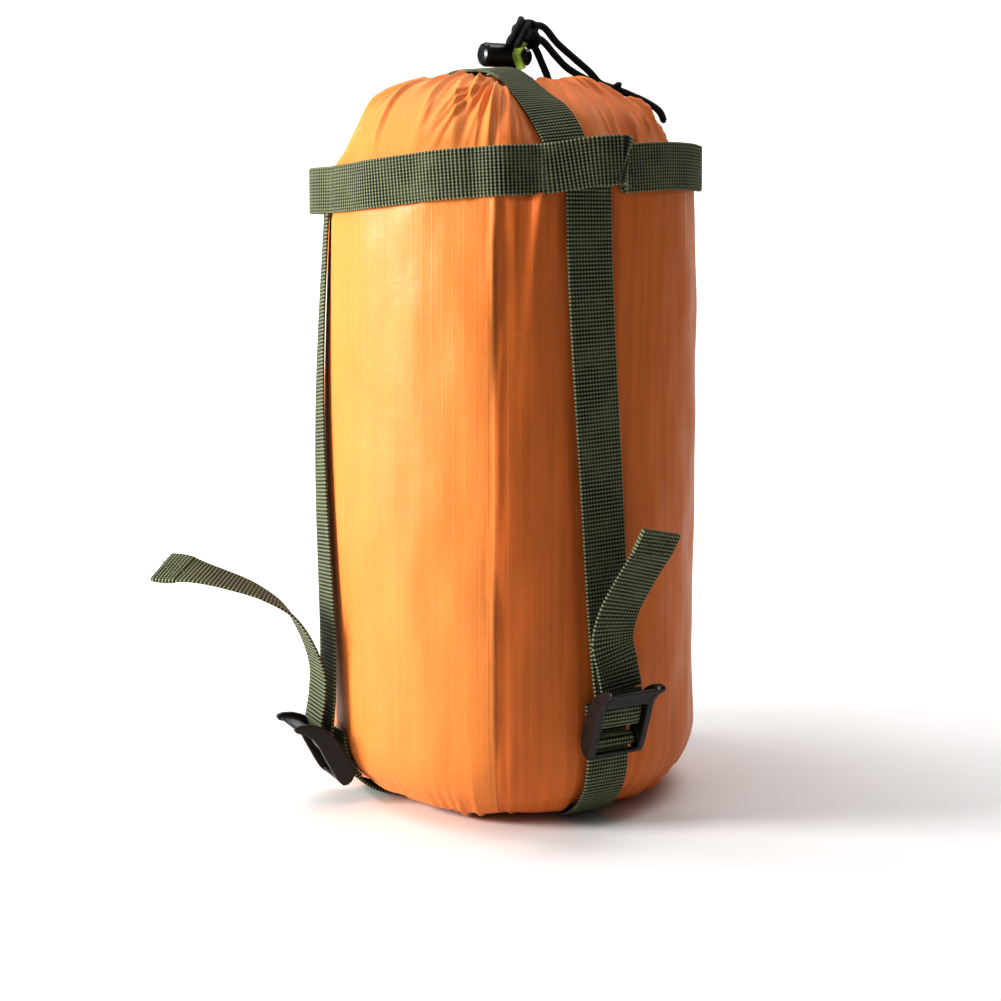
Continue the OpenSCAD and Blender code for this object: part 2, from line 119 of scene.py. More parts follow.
# The drawcord's routes, as in the CAD model
LONG_ROUTE = [
    (.0047, .0111, .343), (.0047, .0111, .348), (.0047, .0111, .355), (.0047, .0111, .362),
    (.0048, .011, .367), (.0058, .009, .370), (.0085, .006, .3725), (.013, .003, .375),
    (.020, .003, .3745), (.028, .0036, .3675), (.0375, .0038, .361), (.047, .004, .3547),
    (.0536, .0037, .349), (.0596, .0025, .347), (.067, .0006, .3445), (.0765, -.0038, .340),
    (.0825, -.0073, .3354), (.085, -.0089, .3292),
]
SHORT_ROUTE = [
    (.0087, .0111, .343), (.0087, .0111, .348), (.0087, .0111, .355), (.0087, .0111, .362),
    (.0087, .011, .367), (.0093, .0086, .3694), (.0108, .005, .3706), (.013, .002, .3698),
    (.018, 0, .367), (.026, .0008, .3602), (.0335, .0015, .3548), (.045, .001, .3496),
    (.052, 0, .347), (.0578, -.002, .3462), (.0616, -.004, .3486),
]
HEM_ROUTE = [
    (.0229, .0017, .3445), (.0224, .002, .348), (.0206, .0022, .3525), (.0183, .0026, .3575),
    (.016, .003, .3625), (.0129, .0035, .3675), (.0106, .004, .3735),
]
TAB_ROUTE = [
    (.0086, .0026, .3666), (.0064, .0029, .364), (.0046, .0034, .3605), (.0056, .0032, .357),
    (.0074, .0028, .3532),
]
KNOT_AT = np.array([.0106, .004, .3726])


# ---------- small mathematics ----------
def smooth(t):
    t = np.clip(t, 0, 1)
    return t * t * (3 - 2 * t)


def cosd(a):
    return np.cos(np.radians(a))


def sind(a):
    return np.sin(np.radians(a))


def unit(v):
    return v / np.maximum(np.linalg.norm(v, axis=-1, keepdims=True), 1e-12)


def angle_off(a, b):
    """Signed difference of two angles, from -180 to 180."""
    return (np.asarray(a) - b + 180) % 360 - 180


def curve(points, count):
    """Smooth curve through given points."""
    p = np.array(points, float)
    p = np.vstack([2 * p[0] - p[1], p, 2 * p[-1] - p[-2]])
    x = np.linspace(0, len(points) - 1, count)
    i = np.minimum(x.astype(int), len(points) - 2)
    t = (x - i)[:, None]
    a, b, c, d = p[i], p[i + 1], p[i + 2], p[i + 3]
    return 0.5 * (2 * b + (c - a) * t + (2 * a - 5 * b + 4 * c - d) * t**2 + (3 * b - a - 3 * c + d) * t**3)


def lengths(points):
    """Distance along a row of points."""
    return np.concatenate([[0], np.cumsum(np.linalg.norm(np.diff(points, axis=0), axis=1))])


def resample(points, step, *extras):
    """Points at even distances along a row, with any rows of vectors that go with them."""
    s = lengths(points)
    at = np.linspace(0, s[-1], max(2, int(round(s[-1] / step)) + 1))
    rows = [np.column_stack([np.interp(at, s, e[:, j]) for j in range(e.shape[1])]) for e in (points, *extras)]
    return at, rows


def heading(points, closed=False):
    if closed:
        return unit(np.roll(points, -1, axis=0) - np.roll(points, 1, axis=0))
    return unit(np.gradient(points, axis=0))


def side_point(angle, r, z, across=0):
    return np.stack(np.broadcast_arrays(
        r * cosd(angle) - across * sind(angle), r * sind(angle) + across * cosd(angle), z), axis=-1)


def collar_height(angle):
    return COLLAR_Z + COLLAR_RISE * cosd(np.asarray(angle) + 30)


def dome_ring(t):
    """Radius of the gathered top, from the shoulder (t = 0) to the mouth (t = 1)."""
    return np.maximum(SACK_R * cosd(90 * t * 0.945) ** (2 / DOME_POWER), MOUTH_R)


def dome_height(r):
    """Height of the gathered top at a radius; it dips at the mouth."""
    inside = np.maximum(0, 1 - (r / SACK_R) ** DOME_POWER)
    return SHOULDER_Z + DOME_H * inside ** (1 / DOME_POWER) - 0.0030 * np.exp(-(r - MOUTH_R) / 0.006)


def bell(x, width, power=2):
    """A smooth hump, 1 at x = 0."""
    return np.exp(-np.abs(x / width) ** power)


def arc(angle, place, r=None):
    """Distance round the sack, or round a circle of radius r, from a place to an angle."""
    return angle_off(angle, place) * math.pi / 180 * (SACK_R if r is None else r)


def fold(off, width, power, dip, dip_width):
    """A sharp fold with a shallow valley on one side of it."""
    return bell(off, width, power) - dip * bell(off - DIP_AWAY * width, dip_width * width)


def sideways(k, count):
    """The direction across a strap on side k, once for each of its points."""
    return np.tile([-sind(BASE_ANGLE[k]), cosd(BASE_ANGLE[k]), 0.0], (count, 1))


def tube_ends(rows, cols):
    """The two end faces of a closed strip of rows x cols points."""
    return [tuple(range(cols - 1, -1, -1)), tuple((rows - 1) * cols + j for j in range(cols))]


def waves(u, v, count, scale, seed):
    """Smooth random field from a few sine waves, about -1 to 1; u and v in metres."""
    r = np.random.default_rng(seed)
    total = 0
    for _ in range(count):
        a, k = r.uniform(0, 2 * math.pi), r.uniform(0.6, 1.6) * 2 * math.pi / scale
        total = total + np.sin(k * (u * math.cos(a) + v * math.sin(a)) + r.uniform(0, 6.28))
    return total / math.sqrt(count)


# ---------- making meshes ----------
def piece(name, verts, faces, material):
    mesh = bpy.data.meshes.new(name)
    mesh.from_pydata(np.asarray(verts).tolist(), [], faces)
    mesh.update()
    mesh.polygons.foreach_set("use_smooth", [True] * len(mesh.polygons))
    obj = bpy.data.objects.new(name, mesh)
    bpy.context.collection.objects.link(obj)
    mesh.materials.append(material)
    return obj


def rest_attribute(obj, values, name="weave"):
    """Keeps each vertex's place in the weave, so that patterns stay put when the piece bends."""
    attribute = obj.data.attributes.new(name, "FLOAT_VECTOR", "POINT")
    attribute.data.foreach_set("vector", np.asarray(values, np.float32).ravel())


def grid_faces(rows, cols, wrap_cols=False, wrap_rows=False):
    faces = []
    for i in range(rows if wrap_rows else rows - 1):
        a, b = i * cols, ((i + 1) % rows) * cols
        for j in range(cols if wrap_cols else cols - 1):
            k = (j + 1) % cols
            faces.append((a + j, a + k, b + k, b + j))
    return faces


def baked(obj, *modifiers):
    """Adds modifiers to an object and keeps their result as its mesh."""
    for kind, settings in modifiers:
        m = obj.modifiers.new(kind, kind)
        for key, value in settings.items():
            setattr(m, key, value)
    bpy.context.view_layer.update()
    done = bpy.data.meshes.new_from_object(obj.evaluated_get(bpy.context.evaluated_depsgraph_get()))
    done.name = obj.name
    obj.modifiers.clear()
    obj.data = done
    done.polygons.foreach_set("use_smooth", [True] * len(done.polygons))
    return obj


# ---------- materials ----------
class Nodes:
    """Short calls for building a material's node tree."""

    def __init__(self, name):
        self.material = bpy.data.materials.new(name)
        self.material.use_nodes = True
        self.tree = self.material.node_tree
        self.shader = self.tree.nodes["Principled BSDF"]

    def link(self, value, socket):
        if isinstance(value, bpy.types.NodeSocket):
            self.tree.links.new(value, socket)
        else:
            socket.default_value = value

    def make(self, kind, settings=None, **inputs):
        n = self.tree.nodes.new(kind)
        for key, value in (settings or {}).items():
            setattr(n, key, value)
        for key, value in inputs.items():
            self.link(value, n.inputs[key.replace("_", " ")])
        return n

    def math(self, operation, a, b=0.0):
        n = self.tree.nodes.new("ShaderNodeMath")
        n.operation = operation
        self.link(a, n.inputs[0])
        self.link(b, n.inputs[1])
        return n.outputs[0]

    def times(self, a, b):
        return self.math("MULTIPLY", a, b)

    def wave(self, value, length, operation="SINE"):
        """A sine along a coordinate in metres."""
        return self.math(operation, self.times(value, 2 * math.pi / length))

    def ramp(self, value, low, high, to_low=0.0, to_high=1.0):
        n = self.tree.nodes.new("ShaderNodeMapRange")
        n.interpolation_type = "SMOOTHSTEP"
        names = ("Value", "From Min", "From Max", "To Min", "To Max")
        for socket, v in zip(names, (value, low, high, to_low, to_high)):
            self.link(v, n.inputs[socket])
        return n.outputs[0]

    def mix(self, factor, a, b):
        n = self.tree.nodes.new("ShaderNodeMix")
        n.data_type = "RGBA"
        self.link(factor, n.inputs[0])
        self.link(a, n.inputs[6])
        self.link(b, n.inputs[7])
        return n.outputs[2]

    def noise(self, scale, vector, detail=3.0, rough=0.5):
        n = self.make("ShaderNodeTexNoise", None, Scale=scale, Detail=detail, Roughness=rough, Vector=vector)
        return n.outputs["Fac"]

    def attribute(self, name="weave"):
        n = self.make("ShaderNodeAttribute", {"attribute_name": name})
        parts = self.make("ShaderNodeSeparateXYZ", None, Vector=n.outputs["Vector"])
        return n.outputs["Vector"], parts.outputs[0], parts.outputs[1], parts.outputs[2]

    def place(self):
        return self.make("ShaderNodeTexCoord").outputs["Object"]

    def bump(self, height, distance, strength=1.0, normal=None):
        n = self.make("ShaderNodeBump", None, Height=height, Distance=distance, Strength=strength)
        if normal is not None:
            self.link(normal, n.inputs["Normal"])
        return n.outputs["Normal"]

    def finish(self, **sockets):
        for key, value in sockets.items():
            self.link(value, self.shader.inputs[key.replace("_", " ")])
        return self.material


def rgb(r, g, b):
    """A linear colour from an sRGB one given from 0 to 255."""
    return tuple(((c / 255 + 0.055) / 1.055) ** 2.4 if c > 10 else c / 3294.6 for c in (r, g, b)) + (1.0,)


def nylon(name):
    """Thin ripstop nylon; weave z is 1 on the second cloth piece, which is coloured browner and darker: partly
    its own tone, partly painted shade for the side away from the key light.
    """
    m = Nodes(name)
    vector, x, y, panel_tone_and_shade = m.attribute()
    lines = []
    for coordinate in (x, y):
        wave = m.math("PINGPONG", coordinate, 0.0026)
        lines.append(m.ramp(wave, 0.0, 0.00045, 1.0, 0.0))
    grid = m.math("MAXIMUM", lines[0], m.times(lines[1], 0.5))
    threads = m.times(m.wave(x, 0.0009), 0.5)
    cloud = m.noise(26.0, vector, 4.0)
    tall = m.make("ShaderNodeMapping", None, Vector=vector)
    tall.inputs["Scale"].default_value = (260.0, 9.0, 1.0)
    streak = m.noise(1.0, tall.outputs[0], 4.0)
    first = m.mix(cloud, rgb(232, 141, 68), rgb(238, 151, 80))
    # the second cloth piece's colour: its own browner tone with painted shade for the side away from the key
    # light
    second = m.mix(cloud, rgb(218, 120, 52), rgb(226, 130, 60))
    colour = m.mix(panel_tone_and_shade, first, second)
    colour = m.mix(m.times(grid, 0.10), colour, rgb(255, 190, 110))
    streaked = m.times(m.ramp(streak, 0.35, 0.75), m.ramp(panel_tone_and_shade, 0.0, 1.0, 0.08, 0.34))
    colour = m.mix(streaked, colour, rgb(176, 86, 34))
    crumple = m.noise(70.0, vector, 5.0, 0.55)
    normal = m.bump(crumple, 0.0009, 0.55)
    normal = m.bump(grid, 0.00008, 0.6, normal)
    normal = m.bump(threads, 0.00004, 0.4, normal)
    roughness = m.ramp(m.noise(40.0, vector), 0.3, 0.7, 0.40, 0.52)
    return m.finish(Base_Color=colour, Roughness=roughness, Normal=normal, Sheen_Weight=0.05,
                    Sheen_Roughness=0.4, Specular_IOR_Level=0.28)


def webbing_material(name, light, gap_tone_and_shade):
    """Ribbed olive webbing: a rib every RIB, broken into dashes, with a beaded edge. The raised ribs get the
    light colour and the gaps between them a near-black one: partly the weave's pattern, partly painted highlight
    on the ribs and painted shade between them.
    """
    m = Nodes(name)
    vector, x, y, edge = m.attribute()
    rib = m.wave(y, RIB, "COSINE")
    dash = m.wave(x, 0.0015, "COSINE")
    cell = m.math("ADD", m.times(dash, 0.35), m.times(rib, 0.5))
    high = m.ramp(cell, -0.30, 0.75)
    worn = m.noise(60.0, vector, 4.0)
    # painted highlight on the raised ribs and painted shade in the gaps, on top of the weave's own pattern
    colour = m.mix(high, gap_tone_and_shade, light)
    colour = m.mix(m.times(m.ramp(worn, 0.35, 0.8), 0.35), colour, rgb(136, 142, 110))
    bead = m.times(edge, m.ramp(rib, -0.2, 0.6))
    colour = m.mix(m.times(bead, 0.45), colour, rgb(164, 170, 138))
    fibres = m.wave(x, 0.00042)
    normal = m.bump(cell, 0.0003, 0.9)
    normal = m.bump(fibres, 0.00004, 0.5, normal)
    return m.finish(Base_Color=colour, Roughness=m.ramp(worn, 0.3, 0.7, 0.62, 0.8), Normal=normal,
                    Sheen_Weight=0.03, Specular_IOR_Level=0.22)


def plastic(name, base, worn_colour, rough_low, rough_high):
    """Moulded plastic with a fine spark-eroded grain and faint scuffs."""
    m = Nodes(name)
    at = m.place()
    grain = m.noise(2600.0, at, 2.0)
    cloud = m.noise(120.0, at, 4.0)
    scuff = m.ramp(m.noise(420.0, at, 6.0, 0.7), 0.58, 0.72)
    colour = m.mix(m.times(cloud, 0.5), base, worn_colour)
    colour = m.mix(m.times(scuff, 0.22), colour, worn_colour)
    normal = m.bump(grain, 0.00003, 0.5)
    return m.finish(Base_Color=colour, Roughness=m.ramp(cloud, 0.25, 0.75, rough_low, rough_high), Normal=normal,
                    Specular_IOR_Level=0.5)


def braid_material(name):
    """Black braided cord: strands cross on two helices."""
    m = Nodes(name)
    _, around, along, _ = m.attribute()
    around, turn = m.times(around, STRANDS), m.times(along, STRANDS * math.pi / BRAID_PITCH)
    one, two = (m.math("SINE", m.math(way, around, turn)) for way in ("ADD", "SUBTRACT"))
    weave = m.math("MAXIMUM", one, two)
    colour = m.mix(m.ramp(weave, 0.2, 1.0), rgb(8, 8, 9), rgb(34, 34, 37))
    normal = m.bump(weave, 0.00018, 0.7)
    return m.finish(Base_Color=colour, Roughness=m.ramp(weave, 0.0, 1.0, 0.75, 0.55), Normal=normal,
                    Sheen_Weight=0.03, Specular_IOR_Level=0.3)


def thread_material(name, colour):
    """Fuzzy sewing thread."""
    m = Nodes(name)
    fuzz = m.noise(3000.0, m.place(), 2.0)
    return m.finish(Base_Color=m.mix(fuzz, colour, rgb(60, 66, 48)), Roughness=m.ramp(fuzz, 0.3, 0.7, 0.5, 0.7),
                    Normal=m.bump(fuzz, 0.0001, 0.5))


def steel_material(name):
    """Drawn spring wire."""
    m = Nodes(name)
    scratch = m.noise(900.0, m.place(), 3.0)
    return m.finish(Base_Color=m.mix(scratch, rgb(150, 150, 152), rgb(190, 190, 192)), Metallic=1.0,
                    Roughness=m.ramp(scratch, 0.3, 0.7, 0.25, 0.4))


NYLON = nylon("orange_nylon")
# the pale colour is partly painted highlight, the near-black one partly painted shade
WEBBING = webbing_material("olive_webbing", rgb(148, 154, 118), rgb(13, 16, 10))
BUCKLE_PLASTIC = plastic("buckle_plastic", rgb(12, 11, 11), rgb(38, 33, 31), 0.30, 0.42)
LOCK_PLASTIC = plastic("cord_lock_plastic", rgb(14, 14, 15), rgb(44, 44, 46), 0.22, 0.32)
BRAID = braid_material("black_braid")
THREAD = thread_material("olive_thread", rgb(150, 158, 126))
STEEL = steel_material("spring_steel")


# ---------- camera, light and floor ----------
def make_camera():
    """The photograph's view: low in front, with a slight shift for its framing."""
    eye = Vector((VIEW_AWAY * sind(VIEW_AZIMUTH), -VIEW_AWAY * cosd(VIEW_AZIMUTH), VIEW_Z))
    data = bpy.data.cameras.new("camera")
    data.lens, data.sensor_width = LENS_MM, 36.0
    data.shift_x, data.shift_y = FRAME_SHIFT
    camera = bpy.data.objects.new("camera", data)
    camera.location = eye
    camera.rotation_euler = (Vector((0, 0, AIM_Z)) - eye).to_track_quat("-Z", "Y").to_euler()
    bpy.context.collection.objects.link(camera)
    bpy.context.scene.camera = camera


def area_light(name, view_angle, height, distance, size, power, target=(0, 0, 0.2)):
    """A softbox: view_angle is measured from the camera's side, positive to its right."""
    a = VIEW_AZIMUTH + view_angle
    at = Vector((distance * sind(a), -distance * cosd(a), height))
    data = bpy.data.lights.new(name, "AREA")
    data.energy, data.size = power, size
    light = bpy.data.objects.new(name, data)
    light.location = at
    light.rotation_euler = (Vector(target) - at).to_track_quat("-Z", "Y").to_euler()
    bpy.context.collection.objects.link(light)


def make_stage():
    """A pale floor that curves up behind the sack, with its own light."""
    m = Nodes("pale_floor")
    shade = m.noise(3.0, m.place())
    m.finish(Base_Color=m.mix(shade, (0.9, 0.9, 0.9, 1), (0.93, 0.93, 0.93, 1)), Roughness=0.7,
             Specular_IOR_Level=0.1)
    a = np.radians(np.linspace(0, 90, 24))
    profile = [(-2.5, 0), (0, 0), (0.8, 0)]
    profile += list(zip(1.2 + 0.9 * np.sin(a), 0.9 - 0.9 * np.cos(a))) + [(2.1, 3.5)]
    away = np.array([-sind(VIEW_AZIMUTH), cosd(VIEW_AZIMUTH), 0])
    side = np.array([away[1], -away[0], 0])
    wide = np.linspace(-3.5, 3.5, 3)
    verts = [away * d + side * w + np.array([0, 0, h]) for d, h in profile for w in wide]
    floor = piece("floor", verts, grid_faces(len(profile), len(wide)), m.material)
    world = bpy.data.worlds.new("studio")
    world.use_nodes = True
    sky = world.node_tree.nodes["Background"]
    sky.inputs["Color"].default_value = (1, 1, 1, 1)
    sky.inputs["Strength"].default_value = 0.14
    bpy.context.scene.world = world
    area_light("key", -76, 0.45, 1.15, 0.35, 20.8)
    area_light("top", -50, 1.5, 0.6, 0.5, 3.5)
    area_light("fill", 25, 0.35, 2.2, 1.4, 1.5)
    # the backdrop's own lights stand behind the sack and face away from it
    backdrop = tuple(away * 2.2 + np.array([0, 0, 0.55]))
    area_light("backdrop_left", 120, 1.7, 0.75, 1.2, 26.0, backdrop)
    area_light("backdrop_right", 240, 1.7, 0.75, 1.2, 26.0, backdrop)
    view = bpy.context.scene.view_settings
    view.view_transform, view.gamma = "Standard", 0.8


make_camera()


# ---------- cords ----------
def braided_tube(name, path, diameter):
    """A tube with a braided surface along a path; its ends are closed and a little rounded."""
    s, (points,) = resample(np.asarray(path), 0.0005)
    sides = 20
    along = heading(points)
    side = unit(np.cross(along, np.array([0.93, 0.33, 0.13])))
    up = np.cross(along, side)
    a = np.arange(sides) * 2 * math.pi / sides
    end = np.minimum(s, s[-1] - s)
    taper = np.sqrt(np.clip(end / (0.4 * diameter), 0.12, 1))
    around, turn = STRANDS * a[None, :], s[:, None] * STRANDS * math.pi / BRAID_PITCH
    pattern = np.sin(around + turn) * np.sin(around - turn)
    radius = (diameter / 2) * taper[:, None] * (0.985 + 0.03 * pattern)
    ring = np.cos(a)[None, :, None] * side[:, None, :] + np.sin(a)[None, :, None] * up[:, None, :]
    verts = (points[:, None, :] + radius[:, :, None] * ring).reshape(-1, 3)
    n = len(points)
    faces = grid_faces(n, sides, wrap_cols=True)
    faces += tube_ends(n, sides)
    obj = piece(name, verts, faces, BRAID)
    rest = np.stack([np.tile(a, n), np.repeat(s, sides), np.zeros(n * sides)], axis=-1)
    rest_attribute(obj, rest)
    return obj


def free_cord(name, route, node):
    """A length of drawcord along its route, in place of its CAD part."""
    path = curve(route, 12 * len(route))
    obj = braided_tube(name, path, CORD_D)
    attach(obj, "top")
    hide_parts(node)
    return obj


def knot_loop(centre, axis, lean, wide, tall):
    """One turn of the doubled cord round the standing strands."""
    axis = unit(np.array(axis, float))
    first = unit(np.cross(axis, np.array(lean, float)))
    second = np.cross(axis, first)
    a = np.linspace(0, 2 * math.pi, 40)[:, None]
    drift = axis * (a - math.pi) / math.pi * 0.0006
    return KNOT_AT + centre + 1.28 * (wide * np.cos(a) * first + tall * np.sin(a) * second) + drift


def make_knot():
    """The doubled overhand knot: two turns side by side, and a third that locks them."""
    lean = (0, 1, 0.2)
    axis = (0.80, -0.35, -0.48)
    turns = [
        knot_loop((-0.0048, 0.0021, -0.0003), axis, lean, .0046, .0056),
        knot_loop((-0.0017, 0.0007, -0.0022), axis, lean, .0048, .0058),
        knot_loop((0.0000, 0.0015, 0.0005), (0.25, 0.55, 0.8), lean, .0036, .0044),
        knot_loop((0.0022, -0.0003, -0.0037), (0.9, 0.2, 0.25), lean, .0030, .0038),
    ]
    tubes = [braided_tube(f"knot_turn_{i}", t, CORD_D) for i, t in enumerate(turns)]
    knot = tubes[0]
    with bpy.context.temp_override(active_object=knot, selected_editable_objects=tubes, object=knot):
        bpy.ops.object.join()
    knot.name = "drawcord_knot"
    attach(knot, "top")
    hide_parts("cord_knot")
    return knot


knot = make_knot()
free_cord("drawcord_long_end", LONG_ROUTE, "drawcord_long")
free_cord("drawcord_short_end", SHORT_ROUTE, "drawcord_short")
free_cord("drawcord_from_hem", HEM_ROUTE, "drawcord_hem_strand")
make_stage()


# ---------- the sack's cloth ----------
def strap_run_line(k, count=60):
    """Centre line of a strap from its buckle up into the collar."""
    foot_r, foot_z = buckle_rz(k, 0.0194, MID_BAR[1] - WRAP_R)
    top_z = collar_height(COLLAR_ANGLE[k]) - WEB_W / 2 - 0.0014
    t = np.linspace(0, 1, count)
    angle = BASE_ANGLE[k] + COLLAR_TURN[k] * smooth(t)
    wall = SACK_R + 0.0011
    r = wall + RUN_STAND_OFF[k] * sind(180 * t) + (foot_r - wall) * (1 - t) ** 8
    z = foot_z + (top_z - foot_z) * t
    shift = BASE_SHIFT[k] * (1 - smooth(t))
    return side_point(angle, r, z, shift), np.stack([-sind(angle), cosd(angle), 0 * angle], axis=-1)


def anchor_radius(z):
    """How far out an anchor bar lies, in its loop on the bottom strap."""
    if z >= CORNER_Z:
        return FLAT_R + STRAP_CORNER_R + LOOP_R
    return FLAT_R + math.sqrt((STRAP_CORNER_R + LOOP_R) ** 2 - (CORNER_Z - z) ** 2)


def buckle_rz(k, s, n):
    """Radius and height of a point in a buckle's own side view."""
    t = BUCKLE_TILT[k]
    r = anchor_radius(ANCHOR_Z[k]) + s * sind(t) + n * cosd(t)
    return r, ANCHOR_Z[k] + s * cosd(t) - n * sind(t)


def run_off(k, angle, z):
    """Distance round the wall from the middle of side k's strap."""
    line, _ = strap_run_line(k)
    return arc(angle, np.interp(z, line[:, 2], np.degrees(np.unwrap(np.arctan2(line[:, 1], line[:, 0])))))


def strap_cover(angle, z):
    """1 where a strap's run lies on the wall, 0 away from it."""
    off = np.min([np.abs(run_off(k, angle, z)) for k in range(4)], axis=0)
    return 1 - smooth((off - 0.0105) / 0.005)


def corner_out(angle):
    """Slight corner of the sack's section at its side seam and opposite it."""
    total = 0
    for place, high in ((SEAM_ANGLE, 0.0038), (SEAM_ANGLE + 180, 0.0022)):
        off = np.sqrt(angle_off(angle, place) ** 2 + 5.0)
        total = total + high * np.exp(-off / 15)
    return total


def tunnel(angle):
    """Shape of the collar over each strap: it slopes out and returns sharply."""
    out = 0 * angle
    for k in range(4):
        off = angle_off(angle, COLLAR_ANGLE[k]) * (1, -1, 1, 1)[k]
        shape = smooth((off + 12.5) / 19) * (1 - smooth((off - 8.6) / 2.4))
        out = np.maximum(out, shape * (1.1, 1.0, 0.8, 0.22)[k])
    return out


def collar_out(angle):
    """How far the collar's middle stands out from the sack's plain wall."""
    t = tunnel(angle)
    sway = 0.0007 * np.sin(np.radians(angle) * 15 + 1) * np.sin(np.radians(angle) * 4)
    for place, deep, wide in COLLAR_DIPS:
        sway = sway - deep * bell(angle_off(angle, place), wide)
    return 0.0018 + (corner_out(angle) + sway) * (1 - t) + 0.0068 * t


def wall_relief(angle, z):
    """How far the wall's cloth stands out from its plain shape."""
    along = np.radians(angle) * SACK_R
    lumps = 0.0006 * waves(along, z, 7, 0.11, 3) + 0.0003 * waves(along, z * 0.6, 9, 0.035, 4)
    tall = 0.00008 * waves(along, z * 0.25, 9, 0.016, 5)
    # the side seam's own fold
    seam = corner_out(angle) * smooth((z - 0.010) / 0.09)
    for place in (SEAM_ANGLE, SEAM_ANGLE + 180):
        off = np.abs(arc(angle, place + 0.7 * np.sin(z * 38) + 0.4 * np.sin(z * 91)))
        seam = seam + 0.0002 * bell(off, 0.0010) - 0.0002 * bell(off - 0.003, 0.0012)
    # gathers hanging from the collar
    below = collar_height(angle) - WEB_W / 2 - z
    gathers = 0
    r = np.random.default_rng(21)
    for _ in range(40):
        place = r.uniform(-180, 180) if r.random() < 0.4 else r.normal(SEAM_ANGLE + 13, 8)
        long, high, wide = r.uniform(0.008, 0.035), r.uniform(0.0003, 0.0010), r.uniform(0.0010, 0.0026)
        off = arc(angle, place + below * r.uniform(-60, 60))
        gathers = gathers + high * bell(off, wide) * np.exp(-np.maximum(below, 0) / long)
    # crimps rising from the bottom seam
    crimps = 0
    for _ in range(90):
        place, high = r.uniform(-180, 180), r.uniform(0.0008, 0.0020)
        wide, long = r.uniform(0.0010, 0.0024), r.uniform(0.005, 0.013)
        crimps = crimps + high * bell(arc(angle, place), wide) * np.exp(-np.maximum(z - FLOOR_GAP, 0) / long)
    # the bottom's seam
    crimps = crimps + 0.0007 * bell(z - 0.0078, 0.0024) - 0.0006 * bell(z - 0.0118, 0.0011)
    # the cloth swells behind the left strap's run, and lies flat under all four
    cover = strap_cover(angle, z)
    line, _ = strap_run_line(1)
    rise = np.clip((z - line[0, 2]) / (line[-1, 2] - line[0, 2]), 0, 1)
    swell = 0.0040 * sind(180 * rise) * bell(run_off(1, angle, z), 0.021)
    free = (lumps + tall + seam + gathers + crimps) * (1 - cover) - 0.0006 * cover + swell
    # the collar holds the cloth in
    held = smooth((0.003 - below) / 0.006)
    under = np.minimum(collar_out(angle), 0.0018 + corner_out(angle)) - 0.0020
    return free * (1 - held) + np.minimum(free, under) * held


def cloth_grid(name, at, out, rest, ridden):
    """A sheet of cloth on a grid that closes round the sack."""
    rows, cols = at.shape[:2]
    obj = piece(name, (at + out).reshape(-1, 3), grid_faces(rows, cols, wrap_cols=True), NYLON)
    rest_attribute(obj, rest.reshape(-1, 3))
    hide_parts(*ridden)
    return obj


def shaded_panel_of(angle):
    """1 on the second piece of cloth, which starts at the side seam; its browner, darker colour is partly its
    own tone and partly painted shade.
    """
    return (angle_off(angle, SEAM_ANGLE) > 0).astype(float)


def make_wall():
    """One tube of cloth from the bottom seam, round the corner and up under the collar."""
    cols, corner_rows, wall_rows = 480, 26, 130
    angle = SEAM_ANGLE + np.arange(cols) * 360 / cols
    start = math.degrees(math.asin((PANEL_R - FLAT_R) / CORNER_R))
    b = np.linspace(start, 90, corner_rows)
    corner_r, corner_z = FLAT_R + CORNER_R * sind(b), CORNER_Z - CORNER_R * cosd(b)
    t = np.linspace(0, 1, wall_rows + 1)[1:]
    top = collar_height(angle) - 0.002
    r = np.concatenate([np.repeat(corner_r[:, None], cols, 1), np.full((wall_rows, cols), SACK_R)])
    wall_z = CORNER_Z + t[:, None] * (top - CORNER_Z)[None, :]
    z = np.concatenate([np.repeat(corner_z[:, None], cols, 1), wall_z])
    lean = np.concatenate([b, np.full(wall_rows, 90.0)])[:, None]
    relief = wall_relief(angle[None, :], z)
    a = angle[None, :] + 0 * z
    at = side_point(a, r, z)
    out = side_point(a, sind(lean) + 0 * z, -cosd(lean) + 0 * z) * relief[..., None]
    sag = 0.0008 * np.clip(1 - (z - FLOOR_GAP) / 0.02, 0, 1) * (1 - np.clip(strap_cover(a, z), 0, 1))
    out[..., 2] -= sag
    along = np.concatenate([[0], np.cumsum(np.hypot(np.diff(r[:, 0]), np.diff(z[:, 0])))])
    round_it = np.radians(a - SEAM_ANGLE) * SACK_R
    # weave z marks the second cloth piece, whose darker colour is partly painted shade
    rest = np.stack([round_it, along[:, None] + 0 * z, shaded_panel_of(a + 0.01)], axis=-1)
    wall = cloth_grid("sack_cloth_wall", at, out, rest, ["sack_wall", "packed_load"])
    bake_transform(wall)


def over_line(k, u):
    """Plan of the strap over the top from side k (u = -1) to the far side (1), and its sideways direction."""
    near, far = COLLAR_ANGLE[k] + OVER_TURN[k], COLLAR_ANGLE[(k + 2) % 4]
    p, q = (side_point(a, SACK_R + 0.001, 0)[:2] for a in (near, far))
    d = (p - q) / np.linalg.norm(p - q)
    aside = np.array([-d[1], d[0]])
    u = np.atleast_1d(u)[:, None]
    plan = (p + q) / 2 + (q - p) / 2 * sind(90 * u) + aside * OVER_BOW[k] * (1 - u * u) ** (1, 1.6)[k]
    end = np.where(u < 0, near, far + 180)
    along = np.concatenate([-sind(end), cosd(end)], axis=1)
    share = np.abs(u) ** 3
    return plan, aside * (1 - share) + along * share


